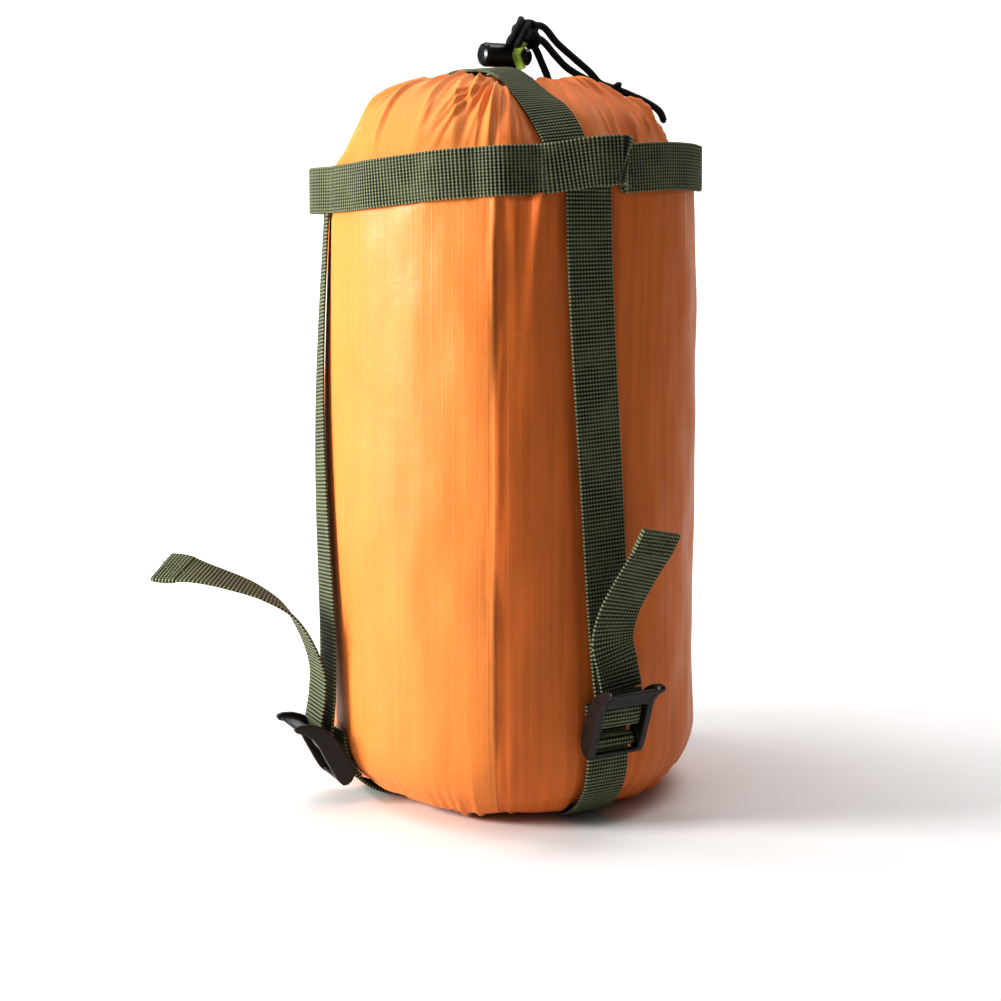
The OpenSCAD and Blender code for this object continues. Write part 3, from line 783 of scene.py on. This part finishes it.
def drawn_in(points):
    """Draws the gathered top in above the collar, more on its right, where it is packed less full."""
    out = points.copy()
    z = points[..., 2]
    angle = np.degrees(np.arctan2(points[..., 1], points[..., 0]))
    share = smooth((z - 0.296) / 0.016) * (1 - smooth((z - 0.322) / 0.026))
    keep = 1 - share * (0.055 + 0.05 * np.clip(cosd(angle_off(angle, -30)), 0, 1))
    right = points[..., 0] * cosd(30) - points[..., 1] * sind(30)
    back = points[..., 0] * sind(30) + points[..., 1] * cosd(30)
    low = (1 - smooth((back - 0.012) / 0.026)) * smooth((z - 0.298) / 0.014)
    low = low * (0.0046 * smooth((right + 0.004) / 0.016) + 0.0018 * smooth((right - 0.030) / 0.025))
    high = bell(np.hypot(points[..., 0] - 0.076, points[..., 1] + 0.001), 0.013)
    out[..., :2] *= keep[..., None]
    out[..., 2] += 0.0036 * high - low
    return out


def top_at(plan):
    """The gathered top's plain surface over points of the plan."""
    t = np.linspace(0, 1, 300)
    ring = dome_ring(t)
    r = np.linalg.norm(plan, axis=-1)
    for _ in range(10):
        share = np.interp(-r, -ring, smooth(t))
        r = np.linalg.norm(plan - share[..., None] * MOUTH_AT, axis=-1)
    return drawn_in(np.concatenate([plan, dome_height(r)[..., None]], axis=-1))


def nearest(at, line):
    """Distance in plan from each point of a grid to the nearest point of a line."""
    return np.min(np.linalg.norm(at[..., None, :2] - line, axis=-1), axis=-1)


def pucker(plan, r):
    """Folds that fan out from where the strap pinches the cloth, in front of the mouth."""
    away = plan - PUCKER_AT
    far = np.linalg.norm(away, axis=-1)
    toward = np.degrees(np.arctan2(away[..., 1], away[..., 0]))
    total = 0
    for place in np.linspace(-188, -72, 24):
        place = place + r.uniform(-3, 3)
        reach, high = r.uniform(0.018, 0.05), r.uniform(0.0010, 0.0021)
        bend = r.uniform(-200, 200) * far
        off = arc(toward, place + bend, far + 0.002)
        wide = 0.0007 + 0.024 * far
        ridge = bell(off, wide, 1.4) - 0.5 * bell(off - 1.6 * wide, 0.7 * wide)
        total = total + high * ridge * smooth(far / 0.006) * (1 - smooth((far - 0.4 * reach) / (0.6 * reach)))
    return total - 0.0035 * bell(far, 0.0045)


def make_dome():
    """The gathered top: pleats run from the shoulder into the drawn mouth."""
    cols, rows = 600, 110
    angle = np.arange(cols) * 360 / cols
    t = np.linspace(0, 1, rows)
    ring = dome_ring(t)
    shift = smooth(t)[:, None] * MOUTH_AT[None, :]
    a = angle[None, :]
    x = shift[:, :1] + ring[:, None] * cosd(a)
    y = shift[:, 1:] + ring[:, None] * sind(a)
    z = np.repeat(dome_height(ring)[:, None], cols, 1)
    at = drawn_in(np.stack([x, y, z], axis=-1))
    # skirt under the collar, and a throat that goes down into the mouth
    low = np.minimum(collar_height(angle) - 0.006, SHOULDER_Z - 0.001)
    skirt = [side_point(angle, SACK_R, low + (SHOULDER_Z - low) * f) for f in (0, 0.3, 0.6, 0.85)]
    throat = []
    for drop, shrink in ((0.0012, 0.93), (0.003, 0.86), (0.0055, 0.8), (0.0085, 0.76), (0.012, 0.74)):
        rim = at[-1].copy()
        rim[:, :2] = MOUTH_AT + (rim[:, :2] - MOUTH_AT) * shrink
        rim[:, 2] -= drop
        throat.append(rim)
    at = np.concatenate([np.array(skirt), at, np.array(throat)])
    t = np.concatenate([np.zeros(len(skirt)), t, np.ones(len(throat))])
    ring = np.concatenate([np.full(len(skirt), SACK_R), ring, np.full(len(throat), MOUTH_R)])
    # pleats
    r = np.random.default_rng(11)
    relief = np.zeros(at.shape[:2])
    pleat_count = 58
    for i in range(pleat_count):
        place = 360 * (i + r.uniform(-0.35, 0.35)) / pleat_count
        start, high = r.uniform(-0.1, 0.65), r.uniform(0.5, 1.3)
        wander = r.uniform(-7, 7) * (1 - t) + r.uniform(-2, 2) * np.sin(t * r.uniform(4, 9))
        off = arc(a, (place + wander)[:, None], ring[:, None])
        wide = (0.0026 * (1 - t) ** 1.2 + 0.0008)[:, None] * r.uniform(0.7, 1.3)
        grow = smooth((t - start) / 0.35)[:, None]
        size = (0.0009 + 0.0013 * np.sin(np.pi * np.clip(t, 0, 1) ** 1.5))[:, None]
        relief += high * size * grow * fold(off, wide, 1.35, 0.45, 0.8)
    lumps = 0.0008 * waves(at[..., 0], at[..., 1], 8, 0.05, 8)
    relief += lumps * smooth((1 - t) / 0.3)[:, None] * smooth(t / 0.1)[:, None]
    for _ in range(22):
        # long pleats on the right, from near the mouth down to the shoulder
        place, high = r.uniform(-92, -8), r.uniform(0.0012, 0.0026)
        lean = r.uniform(4, 12) * (1 - t)
        off = arc(a, (place - lean)[:, None], ring[:, None])
        wide = (0.0008 + 0.0011 * (1 - t))[:, None] * r.uniform(0.8, 1.3)
        grow = (smooth((t - r.uniform(0.02, 0.35)) / 0.25) * (1 - smooth((t - 0.9) / 0.1)))[:, None]
        relief += high * grow * fold(off, wide, 1.3, 0.5, 0.8)
    relief += pucker(at[..., :2], r)
    # the straps press the cloth flat, and it swells beside them
    cover, swell, press = (np.zeros(at.shape[:2]) for _ in range(3))
    for k, depth in ((0, 0.0004), (1, 0.0026)):
        line, _ = over_line(k, np.linspace(-1, 1, 61))
        off = nearest(at, top_at(line)[:, :2])
        here = 1 - smooth((off - 0.0105) / 0.0045)
        cover, press = np.maximum(cover, here), np.maximum(press, here * depth)
        swell = np.maximum(swell, bell(off - 0.021, 0.009))
    # the cloth stands up in front of the side strap's left half
    line, _ = over_line(1, np.linspace(-0.86, -0.12, 40))
    off = nearest(at, line - 0.0195 * np.array([sind(30), cosd(30)]))
    swell = np.maximum(swell, 1.35 * bell(off, 0.0095))
    relief += 0.0017 * swell * smooth((t - 0.03) / 0.08)[:, None] * (1 - smooth((t - 0.8) / 0.2))[:, None]
    cover = cover * (t < 0.999)[:, None]
    relief = np.where(relief > 0, relief * (1 - cover), relief) - press * smooth(t / 0.1)[:, None]
    relief[: len(skirt)] *= 0.2
    across = np.roll(at, -1, axis=1) - np.roll(at, 1, axis=1)
    along = np.gradient(at, axis=0)
    normal = unit(np.cross(across, along))
    down = np.linalg.norm(np.diff(at, axis=0), axis=-1).mean(axis=1)
    travel = np.concatenate([[0], np.cumsum(down)])
    # weave z is 0.8 on the second cloth piece, whose darker colour is partly painted shade
    rest = np.stack([np.radians(a) * SACK_R + 0 * relief, travel[:, None] + 0 * relief,
                     shaded_panel_of(a + 0 * relief) * 0.8], axis=-1)
    dome = cloth_grid("sack_cloth_top", at, normal * relief[..., None], rest, ["gathered_top", "mouth_hem"])
    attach(dome, "top")


def make_bottom():
    """The round bottom, crimped along its seam."""
    cols = 240
    angle = np.arange(cols) * 360 / cols
    radii = np.array([0.0005, 0.008, 0.018, 0.03, 0.042, 0.052, 0.058, 0.062, 0.0645, 0.0663, PANEL_R + 0.0003])
    a = angle[None, :]
    r = np.repeat(radii[:, None], cols, 1)
    z = np.where(r > FLAT_R, CORNER_Z - np.sqrt(np.maximum(CORNER_R**2 - (r - FLAT_R) ** 2, 0)), FLOOR_GAP)
    crimp = 0.0004 * np.sin(np.radians(a) * 37 + 2 * np.sin(np.radians(a) * 5)) * smooth((r - 0.045) / 0.02)
    at = side_point(a + 0 * r, r, z)
    out = np.zeros_like(at)
    out[..., 2] = crimp + 0.0002 * waves(at[..., 0], at[..., 1], 6, 0.03, 17)
    rest = np.stack([at[..., 0], at[..., 1], np.zeros_like(r)], axis=-1)
    bottom = cloth_grid("sack_cloth_bottom", at, out, rest, ["bottom_panel"])
    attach(bottom, "base")


make_wall()
make_dome()
make_bottom()


# ---------- webbing ----------
def web_strip(name, points, across, closed=False, hem_at_end=False):
    """Ribbed webbing along a line: across points sideways at each of its points."""
    step = RIB / 4
    if closed:
        points = np.vstack([points, points[:1]])
        across = np.vstack([across, across[:1]])
    s, (line, across) = resample(points, step, across)
    if closed:
        s, line, across = s[:-1], line[:-1], across[:-1]
    along = heading(line, closed)
    normal = unit(np.cross(along, across))
    side = np.cross(normal, along)
    u = sind(np.linspace(-90, 90, 17))
    bead = np.clip((np.abs(u) - 0.90) / 0.08, 0, 1)
    body = WEB_T / 2 * np.sqrt(np.clip(1 - ((np.abs(u) - 0.93) / 0.07).clip(0, 1) ** 2, 0.04, 1))
    thick = np.full(len(s), 1.0)
    if hem_at_end:
        thick += 1.0 * smooth((s - (s[-1] - TAIL_HEM)) / 0.0007)
    rib = 0.5 + 0.5 * np.cos(2 * math.pi * s / RIB)
    rise = 0.00016 * rib[:, None] * (1 - 0.5 * bead)[None, :]
    half_thick = body[None, :] * thick[:, None] + rise * (body[None, :] / (WEB_T / 2))
    wide = (WEB_W / 2) * (1 + 0.012 * np.cos(2 * math.pi * s / RIB))
    mid = line[:, None, :] + side[:, None, :] * (wide[:, None] * u[None, :])[..., None]
    front = mid + normal[:, None, :] * half_thick[..., None]
    back = mid - normal[:, None, :] * half_thick[..., None]
    ring = np.concatenate([front[:, ::-1], back], axis=1)
    n, cols = ring.shape[:2]
    faces = grid_faces(n, cols, wrap_cols=True, wrap_rows=closed)
    if not closed:
        faces += tube_ends(n, cols)
    obj = piece(name, ring.reshape(-1, 3), faces, WEBBING)
    x = np.concatenate([u[::-1], u]) * WEB_W / 2
    edge = np.concatenate([bead[::-1], bead])
    rest = np.stack(np.broadcast_arrays(x[None, :], s[:, None], edge[None, :]), axis=-1)
    rest_attribute(obj, rest.reshape(-1, 3))
    return obj


def stitches(name, rows):
    """Short threads on the webbing: each row is its points, their outward direction and a stitch's length."""
    verts, faces = [], []
    sides, steps = 6, 5
    ring = np.arange(sides) * 360 / sides
    for points, outward, long in rows:
        s, (line, out) = resample(np.asarray(points, float), 0.0002, np.asarray(outward, float))
        along = heading(line)
        out = unit(out - along * np.sum(out * along, axis=-1, keepdims=True))
        count = max(int(s[-1] / long), 1)
        for i in range(count):
            at = np.linspace((i + 0.12) * long, (i + 0.88) * long, steps)
            base = len(verts)
            for j, here in enumerate(at):
                c, d, o = (np.array([np.interp(here, s, v[:, n]) for n in range(3)]) for v in (line, along, out))
                thick = THREAD_D / 2 * (0.35, 0.9, 1.0, 0.9, 0.35)[j]
                c = c + o * THREAD_D * (-0.45, 0.0, 0.1, 0.0, -0.45)[j]
                aside = np.cross(d, o)
                verts += [tuple(c + thick * (cosd(a) * o + sind(a) * aside)) for a in ring]
            thread = grid_faces(steps, sides, wrap_cols=True) + tube_ends(steps, sides)
            faces += [tuple(base + n for n in face) for face in thread]
    obj = piece(name, verts, faces, THREAD)
    return obj


def collar_middle(angle):
    """Height of the collar's middle: the front strap lifts its tunnel, and the webbing past it sits lower."""
    off = angle_off(angle, COLLAR_ANGLE[0])
    lift = smooth((off + 14) / 16) - 2 * smooth((off - 7.5) / 4) + smooth((off - 50) / 30)
    return collar_height(angle) + 0.0005 * np.sin(np.radians(angle) * 5 + 1) + 0.0020 * lift


def make_collar():
    """The band of webbing round the shoulder, with a tunnel for each strap."""
    angle = np.arange(0, 360, 0.5)
    # the sewn stretches cling to the cloth; the tunnels stand out over the straps
    r = SACK_R + collar_out(angle)
    z = collar_middle(angle)
    points = side_point(angle, r, z)
    up = np.tile([0.0, 0.0, 1.0], (len(angle), 1))
    collar = web_strip("collar_webbing", points, up, closed=True)
    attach(collar, "top")
    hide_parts("collar_band")
    # the bar-tacks at both sides of each strap's tunnel
    rows = []
    for k in range(4):
        for off in (-13.6, -12.9, 12.2, 12.9):
            a = COLLAR_ANGLE[k] + off * (1, -1, 1, 1)[k]
            up = collar_middle(a) + np.linspace(-0.0092, 0.0092, 9)
            r = SACK_R + float(collar_out(np.array([a]))[0]) + WEB_T / 2 + 0.00028
            outward = np.tile(side_point(a, 1.0, 0.0), (9, 1))
            rows.append((side_point(a, r, up), outward, 0.0023))
    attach(stitches("collar_stitches", rows), "top")


def make_over_strap(k, lie, rise, node):
    """A strap over the top: lie is how far it stands off the cloth, rise its lift where the two cross."""
    far = (k + 2) % 4
    plan, aside = over_line(k, np.linspace(-1, 1, 121))
    lift = rise * bell(np.linalg.norm(plan - CROSS_AT, axis=1), 0.02, 4)
    far_out = np.linalg.norm(plan, axis=1)
    top, one, other = (top_at(plan + side * aside) for side in (0, 0.008, -0.008))
    tilt = np.where(far_out < 0.082, (one - other)[:, 2] / 0.016, 0)
    tilt = np.convolve(np.pad(tilt, 4, mode="edge"), np.ones(9) / 9, mode="valid")
    out = unit(np.column_stack([plan, 0 * lift])) * smooth((far_out - 0.06) / 0.03)[:, None]
    out[:, 2] = np.sqrt(1 - np.sum(out**2, axis=1) * 0.98)
    top += out * (WEB_T / 2 + 0.0002 + lie)
    top[:, 2] += lift
    across = np.column_stack([aside, tilt])
    feet = [collar_height(COLLAR_ANGLE[j]) - WEB_W / 2 + 0.0055 for j in (k, far)]
    half = np.arange(len(top)) < len(top) / 2
    keep = (far_out < SACK_R - 0.0001) & (top[:, 2] > np.where(half, *feet))
    points, across = [top[keep]], [across[keep]]
    # both ends run down inside the collar, towards the strap's runs
    for j, turned, first in ((0, COLLAR_ANGLE[k] + OVER_TURN[k], True), (1, COLLAR_ANGLE[far], False)):
        if feet[j] > SHOULDER_Z - 0.004:
            continue
        end = side_point(turned, SACK_R + 0.0014, np.linspace(feet[j], SHOULDER_Z - 0.001, 5))
        ways = np.tile(across[0][0] if first else across[-1][-1], (len(end), 1))
        points = [end] + points if first else points + [end[::-1]]
        across = [ways] + across if first else across + [ways]
    strap = web_strip(f"{node}_webbing", np.vstack(points), np.vstack(across))
    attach(strap, "top")
    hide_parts(node)


def make_run(k):
    """A strap's run from its buckle up into the collar."""
    line, across = strap_run_line(k)
    top = side_point(COLLAR_ANGLE[k], SACK_R + 0.0011, line[-1, 2] + np.array([0.002, 0.004, 0.0062]))
    line = np.vstack([line, top])
    across = np.vstack([across, np.repeat(across[-1:], len(top), axis=0)])
    run = web_strip(f"strap_run_{SIDES[k]}_webbing", line, across)
    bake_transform(run)
    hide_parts(f"strap_run_{SIDES[k]}")


def in_buckle(k, s, n, across=0):
    """Points in the row frame from a buckle's side view."""
    r, z = buckle_rz(k, np.asarray(s, float), np.asarray(n, float))
    return side_point(BASE_ANGLE[k], r, z, BASE_SHIFT[k] + across)


def make_wrap(k):
    """The strap's turn round the buckle's middle bar, up to where the tail leaves."""
    a = np.linspace(-90, -270, 25)
    s = np.concatenate([[0.0205, 0.019], MID_BAR[0] + WRAP_R * cosd(a),
                        [.014, .0165, .0185, .0208, .023, PIVOT[0]]])
    n = np.concatenate([[MID_BAR[1] - WRAP_R] * 2, MID_BAR[1] + WRAP_R * sind(a),
                        [.0037, .0033, .0024, .0014, .0009, PIVOT[1]]])
    wrap = web_strip(f"strap_wrap_{SIDES[k]}_webbing", in_buckle(k, s, n), sideways(k, len(s)))
    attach(wrap, f"buckle_{SIDES[k]}")
    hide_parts(f"strap_wrap_{SIDES[k]}")


def make_tail(k):
    """A strap's free tail past its buckle, with a folded and stitched hem."""
    side = SIDES[k]
    pivot_r, pivot_z = buckle_rz(k, *PIVOT)
    p = curve(TAIL_POINTS[k], 120) * MM
    line = side_point(BASE_ANGLE[k], pivot_r + p[:, 0], pivot_z + p[:, 1], BASE_SHIFT[k] + p[:, 2])
    roll = TAIL_ROLL[k] * np.linspace(0, 1, len(line))
    angle = BASE_ANGLE[k]
    across = np.stack([-sind(angle) * cosd(roll), cosd(angle) * cosd(roll), sind(roll)], axis=-1)
    tail = web_strip(f"tail_{side}_webbing", line, across, hem_at_end=True)
    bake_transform(tail)
    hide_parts(f"tail_root_{side}", f"tail_{side}")
    # three rows of stitches across the folded hem, on both faces
    s, (path, aside) = resample(line, 0.0005, across)
    rows = []
    for back in (0.0025, 0.0050, 0.0105):
        i = len(s) - 1 - int(back / 0.0005)
        along = unit(path[i] - path[i - 1])
        out = unit(np.cross(along, aside[i]))
        for face in (1, -1):
            spot = path[i] + face * out * (WEB_T + 0.00025)
            across_row = spot + np.linspace(-0.0094, 0.0094, 9)[:, None] * unit(aside[i])
            rows.append((across_row, np.tile(face * out, (9, 1)), 0.0021))
    hem = stitches(f"tail_{side}_hem_stitches", rows)
    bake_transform(hem)


def make_bottom_strap(k, hump, node):
    """A strap under the bottom, with a sewn loop round each buckle's anchor bar."""
    arms = []
    for j in (k, (k + 2) % 4):
        upright = ANCHOR_Z[j] > CORNER_Z
        below = (CORNER_Z - ANCHOR_Z[j]) / (STRAP_CORNER_R + LOOP_R)
        end = 90 if upright else math.degrees(math.acos(below))
        b = np.linspace(0, end, 24)
        high = WEB_T / 2 + hump
        line = [(0.004, high), (0.012, high), (0.02, WEB_T / 2), (FLAT_R - 0.002, WEB_T / 2)]
        line += list(zip(FLAT_R + STRAP_CORNER_R * sind(b), CORNER_Z - STRAP_CORNER_R * cosd(b)))
        # once round the anchor bar and back inside the strap
        centre = np.array([anchor_radius(ANCHOR_Z[j]), ANCHOR_Z[j]])
        first = 180 if upright else 90 + end
        turn = np.linspace(first, first - 290, 30)
        line += [tuple(centre + LOOP_R * np.array([cosd(x), sind(x)])) for x in turn]
        line = np.array(line)
        points = side_point(BASE_ANGLE[j], line[:, 0], line[:, 1], BASE_SHIFT[j])
        arms.append((points, sideways(j, len(points))))
    points = np.vstack([arms[0][0][::-1], arms[1][0]])
    across = np.vstack([arms[0][1][::-1], -arms[1][1]])
    strap = web_strip(f"{node}_webbing", points, across)
    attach(strap, "base")
    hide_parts(node)


def make_anchor_flap(k):
    """The sewn end of the anchor's webbing, which lies on the cloth behind the buckle."""
    z = np.linspace(ANCHOR_Z[k] - 0.004, ANCHOR_Z[k] + 0.017, 20)
    depth = np.clip(CORNER_Z - z, 0, None)
    r = FLAT_R + np.sqrt((CORNER_R + 0.0011) ** 2 - depth**2)
    points = side_point(BASE_ANGLE[k], r, z, BASE_SHIFT[k])
    flap = web_strip(f"anchor_flap_{SIDES[k]}", points, sideways(k, len(points)))
    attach(flap, "base")


make_collar()
make_over_strap(0, 0.0004, 0.0009, "over_strap_fore_aft")
make_over_strap(1, -0.0022, 0.0, "over_strap_side")
make_bottom_strap(0, 0.0, "bottom_strap_fore_aft")
make_bottom_strap(1, WEB_T + 0.0003, "bottom_strap_side")
for k in range(4):
    make_run(k)
    make_wrap(k)
    make_tail(k)
    make_anchor_flap(k)


# ---------- buckles ----------
# outlines of a side plate and of the lip in the buckle's side view, in mm
PLATE = [
    (-2.8, -2.2), (-5, 0.6), (-5.6, 3.4), (-4.6, 5.6), (-1.5, 6.6), (4, 7), (12, 7.2), (19, 7.2),
    (23.5, 8), (27.5, 10.2), (31, 13.4), (32.6, 13.8), (33.6, 12.6), (33, 9.6), (30.5, 5.6),
    (27.6, 2.6), (24, 0), (18, -2), (10, -3), (3, -3.2),
]
LIP = [
    (20.8, 4.4), (20.8, 6.6), (24.2, 7.4), (28, 9.6), (30.6, 12.4), (31.6, 12.2),
    (31.8, 11.2), (29.6, 7.8), (26.4, 5), (23, 3.8),
]
PLATE_IN = WEB_W / 2 + 0.0005
PLATE_T = 0.003


def prism(bm, outline, low, high):
    """Adds an outline of the buckle's side view, run across from low to high."""
    rings = [[bm.verts.new((s * MM, n * MM, w)) for s, n in outline] for w in (low, high)]
    bm.faces.new(rings[0][::-1])
    bm.faces.new(rings[1])
    for i in range(len(outline)):
        j = (i + 1) % len(outline)
        bm.faces.new((rings[0][i], rings[0][j], rings[1][j], rings[1][i]))


def round_bar(s, n, r):
    """Outline of a round bar in the buckle's side view."""
    return [(s + r * cosd(a), n + r * sind(a)) for a in range(0, 360, 15)]


def make_buckle(k):
    """A moulded ladder-lock, fused and softened so that its edges are rounded."""
    bm = bmesh.new()
    for end in (-1, 1):
        low, high = sorted((end * PLATE_IN, end * (PLATE_IN + PLATE_T)))
        prism(bm, PLATE, low, high)
    bars = [round_bar(0, 0, 1.8), round_bar(11.5, 1, 1.9), round_bar(-4, 4.2, 1.35), LIP]
    for bar in bars:
        prism(bm, bar, -PLATE_IN - 0.0005, PLATE_IN + 0.0005)
    # gripping ridges on the lip's outer face
    for s, n in ((24.6, 7.5), (26.6, 8.7), (28.6, 10.3)):
        prism(bm, round_bar(s, n, 0.55), -PLATE_IN + 0.002, PLATE_IN - 0.002)
    bmesh.ops.recalc_face_normals(bm, faces=bm.faces)
    mesh = bpy.data.meshes.new("buckle")
    bm.to_mesh(mesh)
    bm.free()
    obj = bpy.data.objects.new(f"buckle_{SIDES[k]}_moulding", mesh)
    bpy.context.collection.objects.link(obj)
    baked(obj, ("REMESH", {"mode": "VOXEL", "voxel_size": 0.00042}),
          ("SMOOTH", {"factor": 0.6, "iterations": 4}))
    co = np.array([v.co for v in obj.data.vertices])
    at = in_buckle(k, co[:, 0], co[:, 1], co[:, 2])
    obj.data.vertices.foreach_set("co", at.astype(np.float32).ravel())
    obj.data.update()
    obj.data.materials.clear()
    obj.data.materials.append(BUCKLE_PLASTIC)
    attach(obj, f"buckle_{SIDES[k]}")
    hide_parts(f"buckle_{SIDES[k]}")


for k in range(4):
    make_buckle(k)


# ---------- ribbon tab and the cord lock ----------
def make_tab():
    """The lime ribbon tab that hangs from the knot."""
    line = curve(TAB_ROUTE, 60)
    along = heading(line)
    across = np.tile([0.87, -0.5, 0.2], (len(line), 1))
    normal = unit(np.cross(along, across))
    side = np.cross(normal, along)
    half_w, half_t = 0.0021, 0.0003
    u = np.linspace(-1, 1, 7)
    mid = line[:, None] + side[:, None] * (u * half_w)[None, :, None]
    mid = mid + normal[:, None] * (0.0005 * np.sin(u * 2.2))[None, :, None]
    thick = normal[:, None] * half_t
    ring = np.concatenate([(mid + thick)[:, ::-1], mid - thick], axis=1)
    n, cols = ring.shape[:2]
    faces = grid_faces(n, cols, wrap_cols=True) + tube_ends(n, cols)
    m = Nodes("lime_ribbon")
    _, _, y, _ = m.attribute()
    ribs = m.wave(y, 0.0007)
    colour = m.mix(m.ramp(ribs, -1.0, 1.0), rgb(168, 205, 70), rgb(205, 236, 110))
    m.finish(Base_Color=colour, Roughness=m.ramp(ribs, -1.0, 1.0, 0.6, 0.45), Normal=m.bump(ribs, 0.0001, 0.6),
             Sheen_Weight=0.2)
    tab = piece("pull_tab_ribbon", ring.reshape(-1, 3), faces, m.material)
    s = lengths(line)
    x = np.concatenate([u[::-1], u]) * half_w
    rest = np.stack(np.broadcast_arrays(x[None, :], s[:, None], 0.0), axis=-1)
    rest_attribute(tab, rest.reshape(-1, 3))
    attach(tab, "top")
    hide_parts("pull_tab")


def finish_lock():
    """The cord lock keeps its CAD pieces, with better materials."""
    for node, material in (("cord_lock_barrel", LOCK_PLASTIC), ("cord_lock_plunger", LOCK_PLASTIC),
                           ("cord_lock_spring", STEEL)):
        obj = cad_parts[node]
        for slot in obj.material_slots:
            slot.material = material


make_tab()
finish_lock()
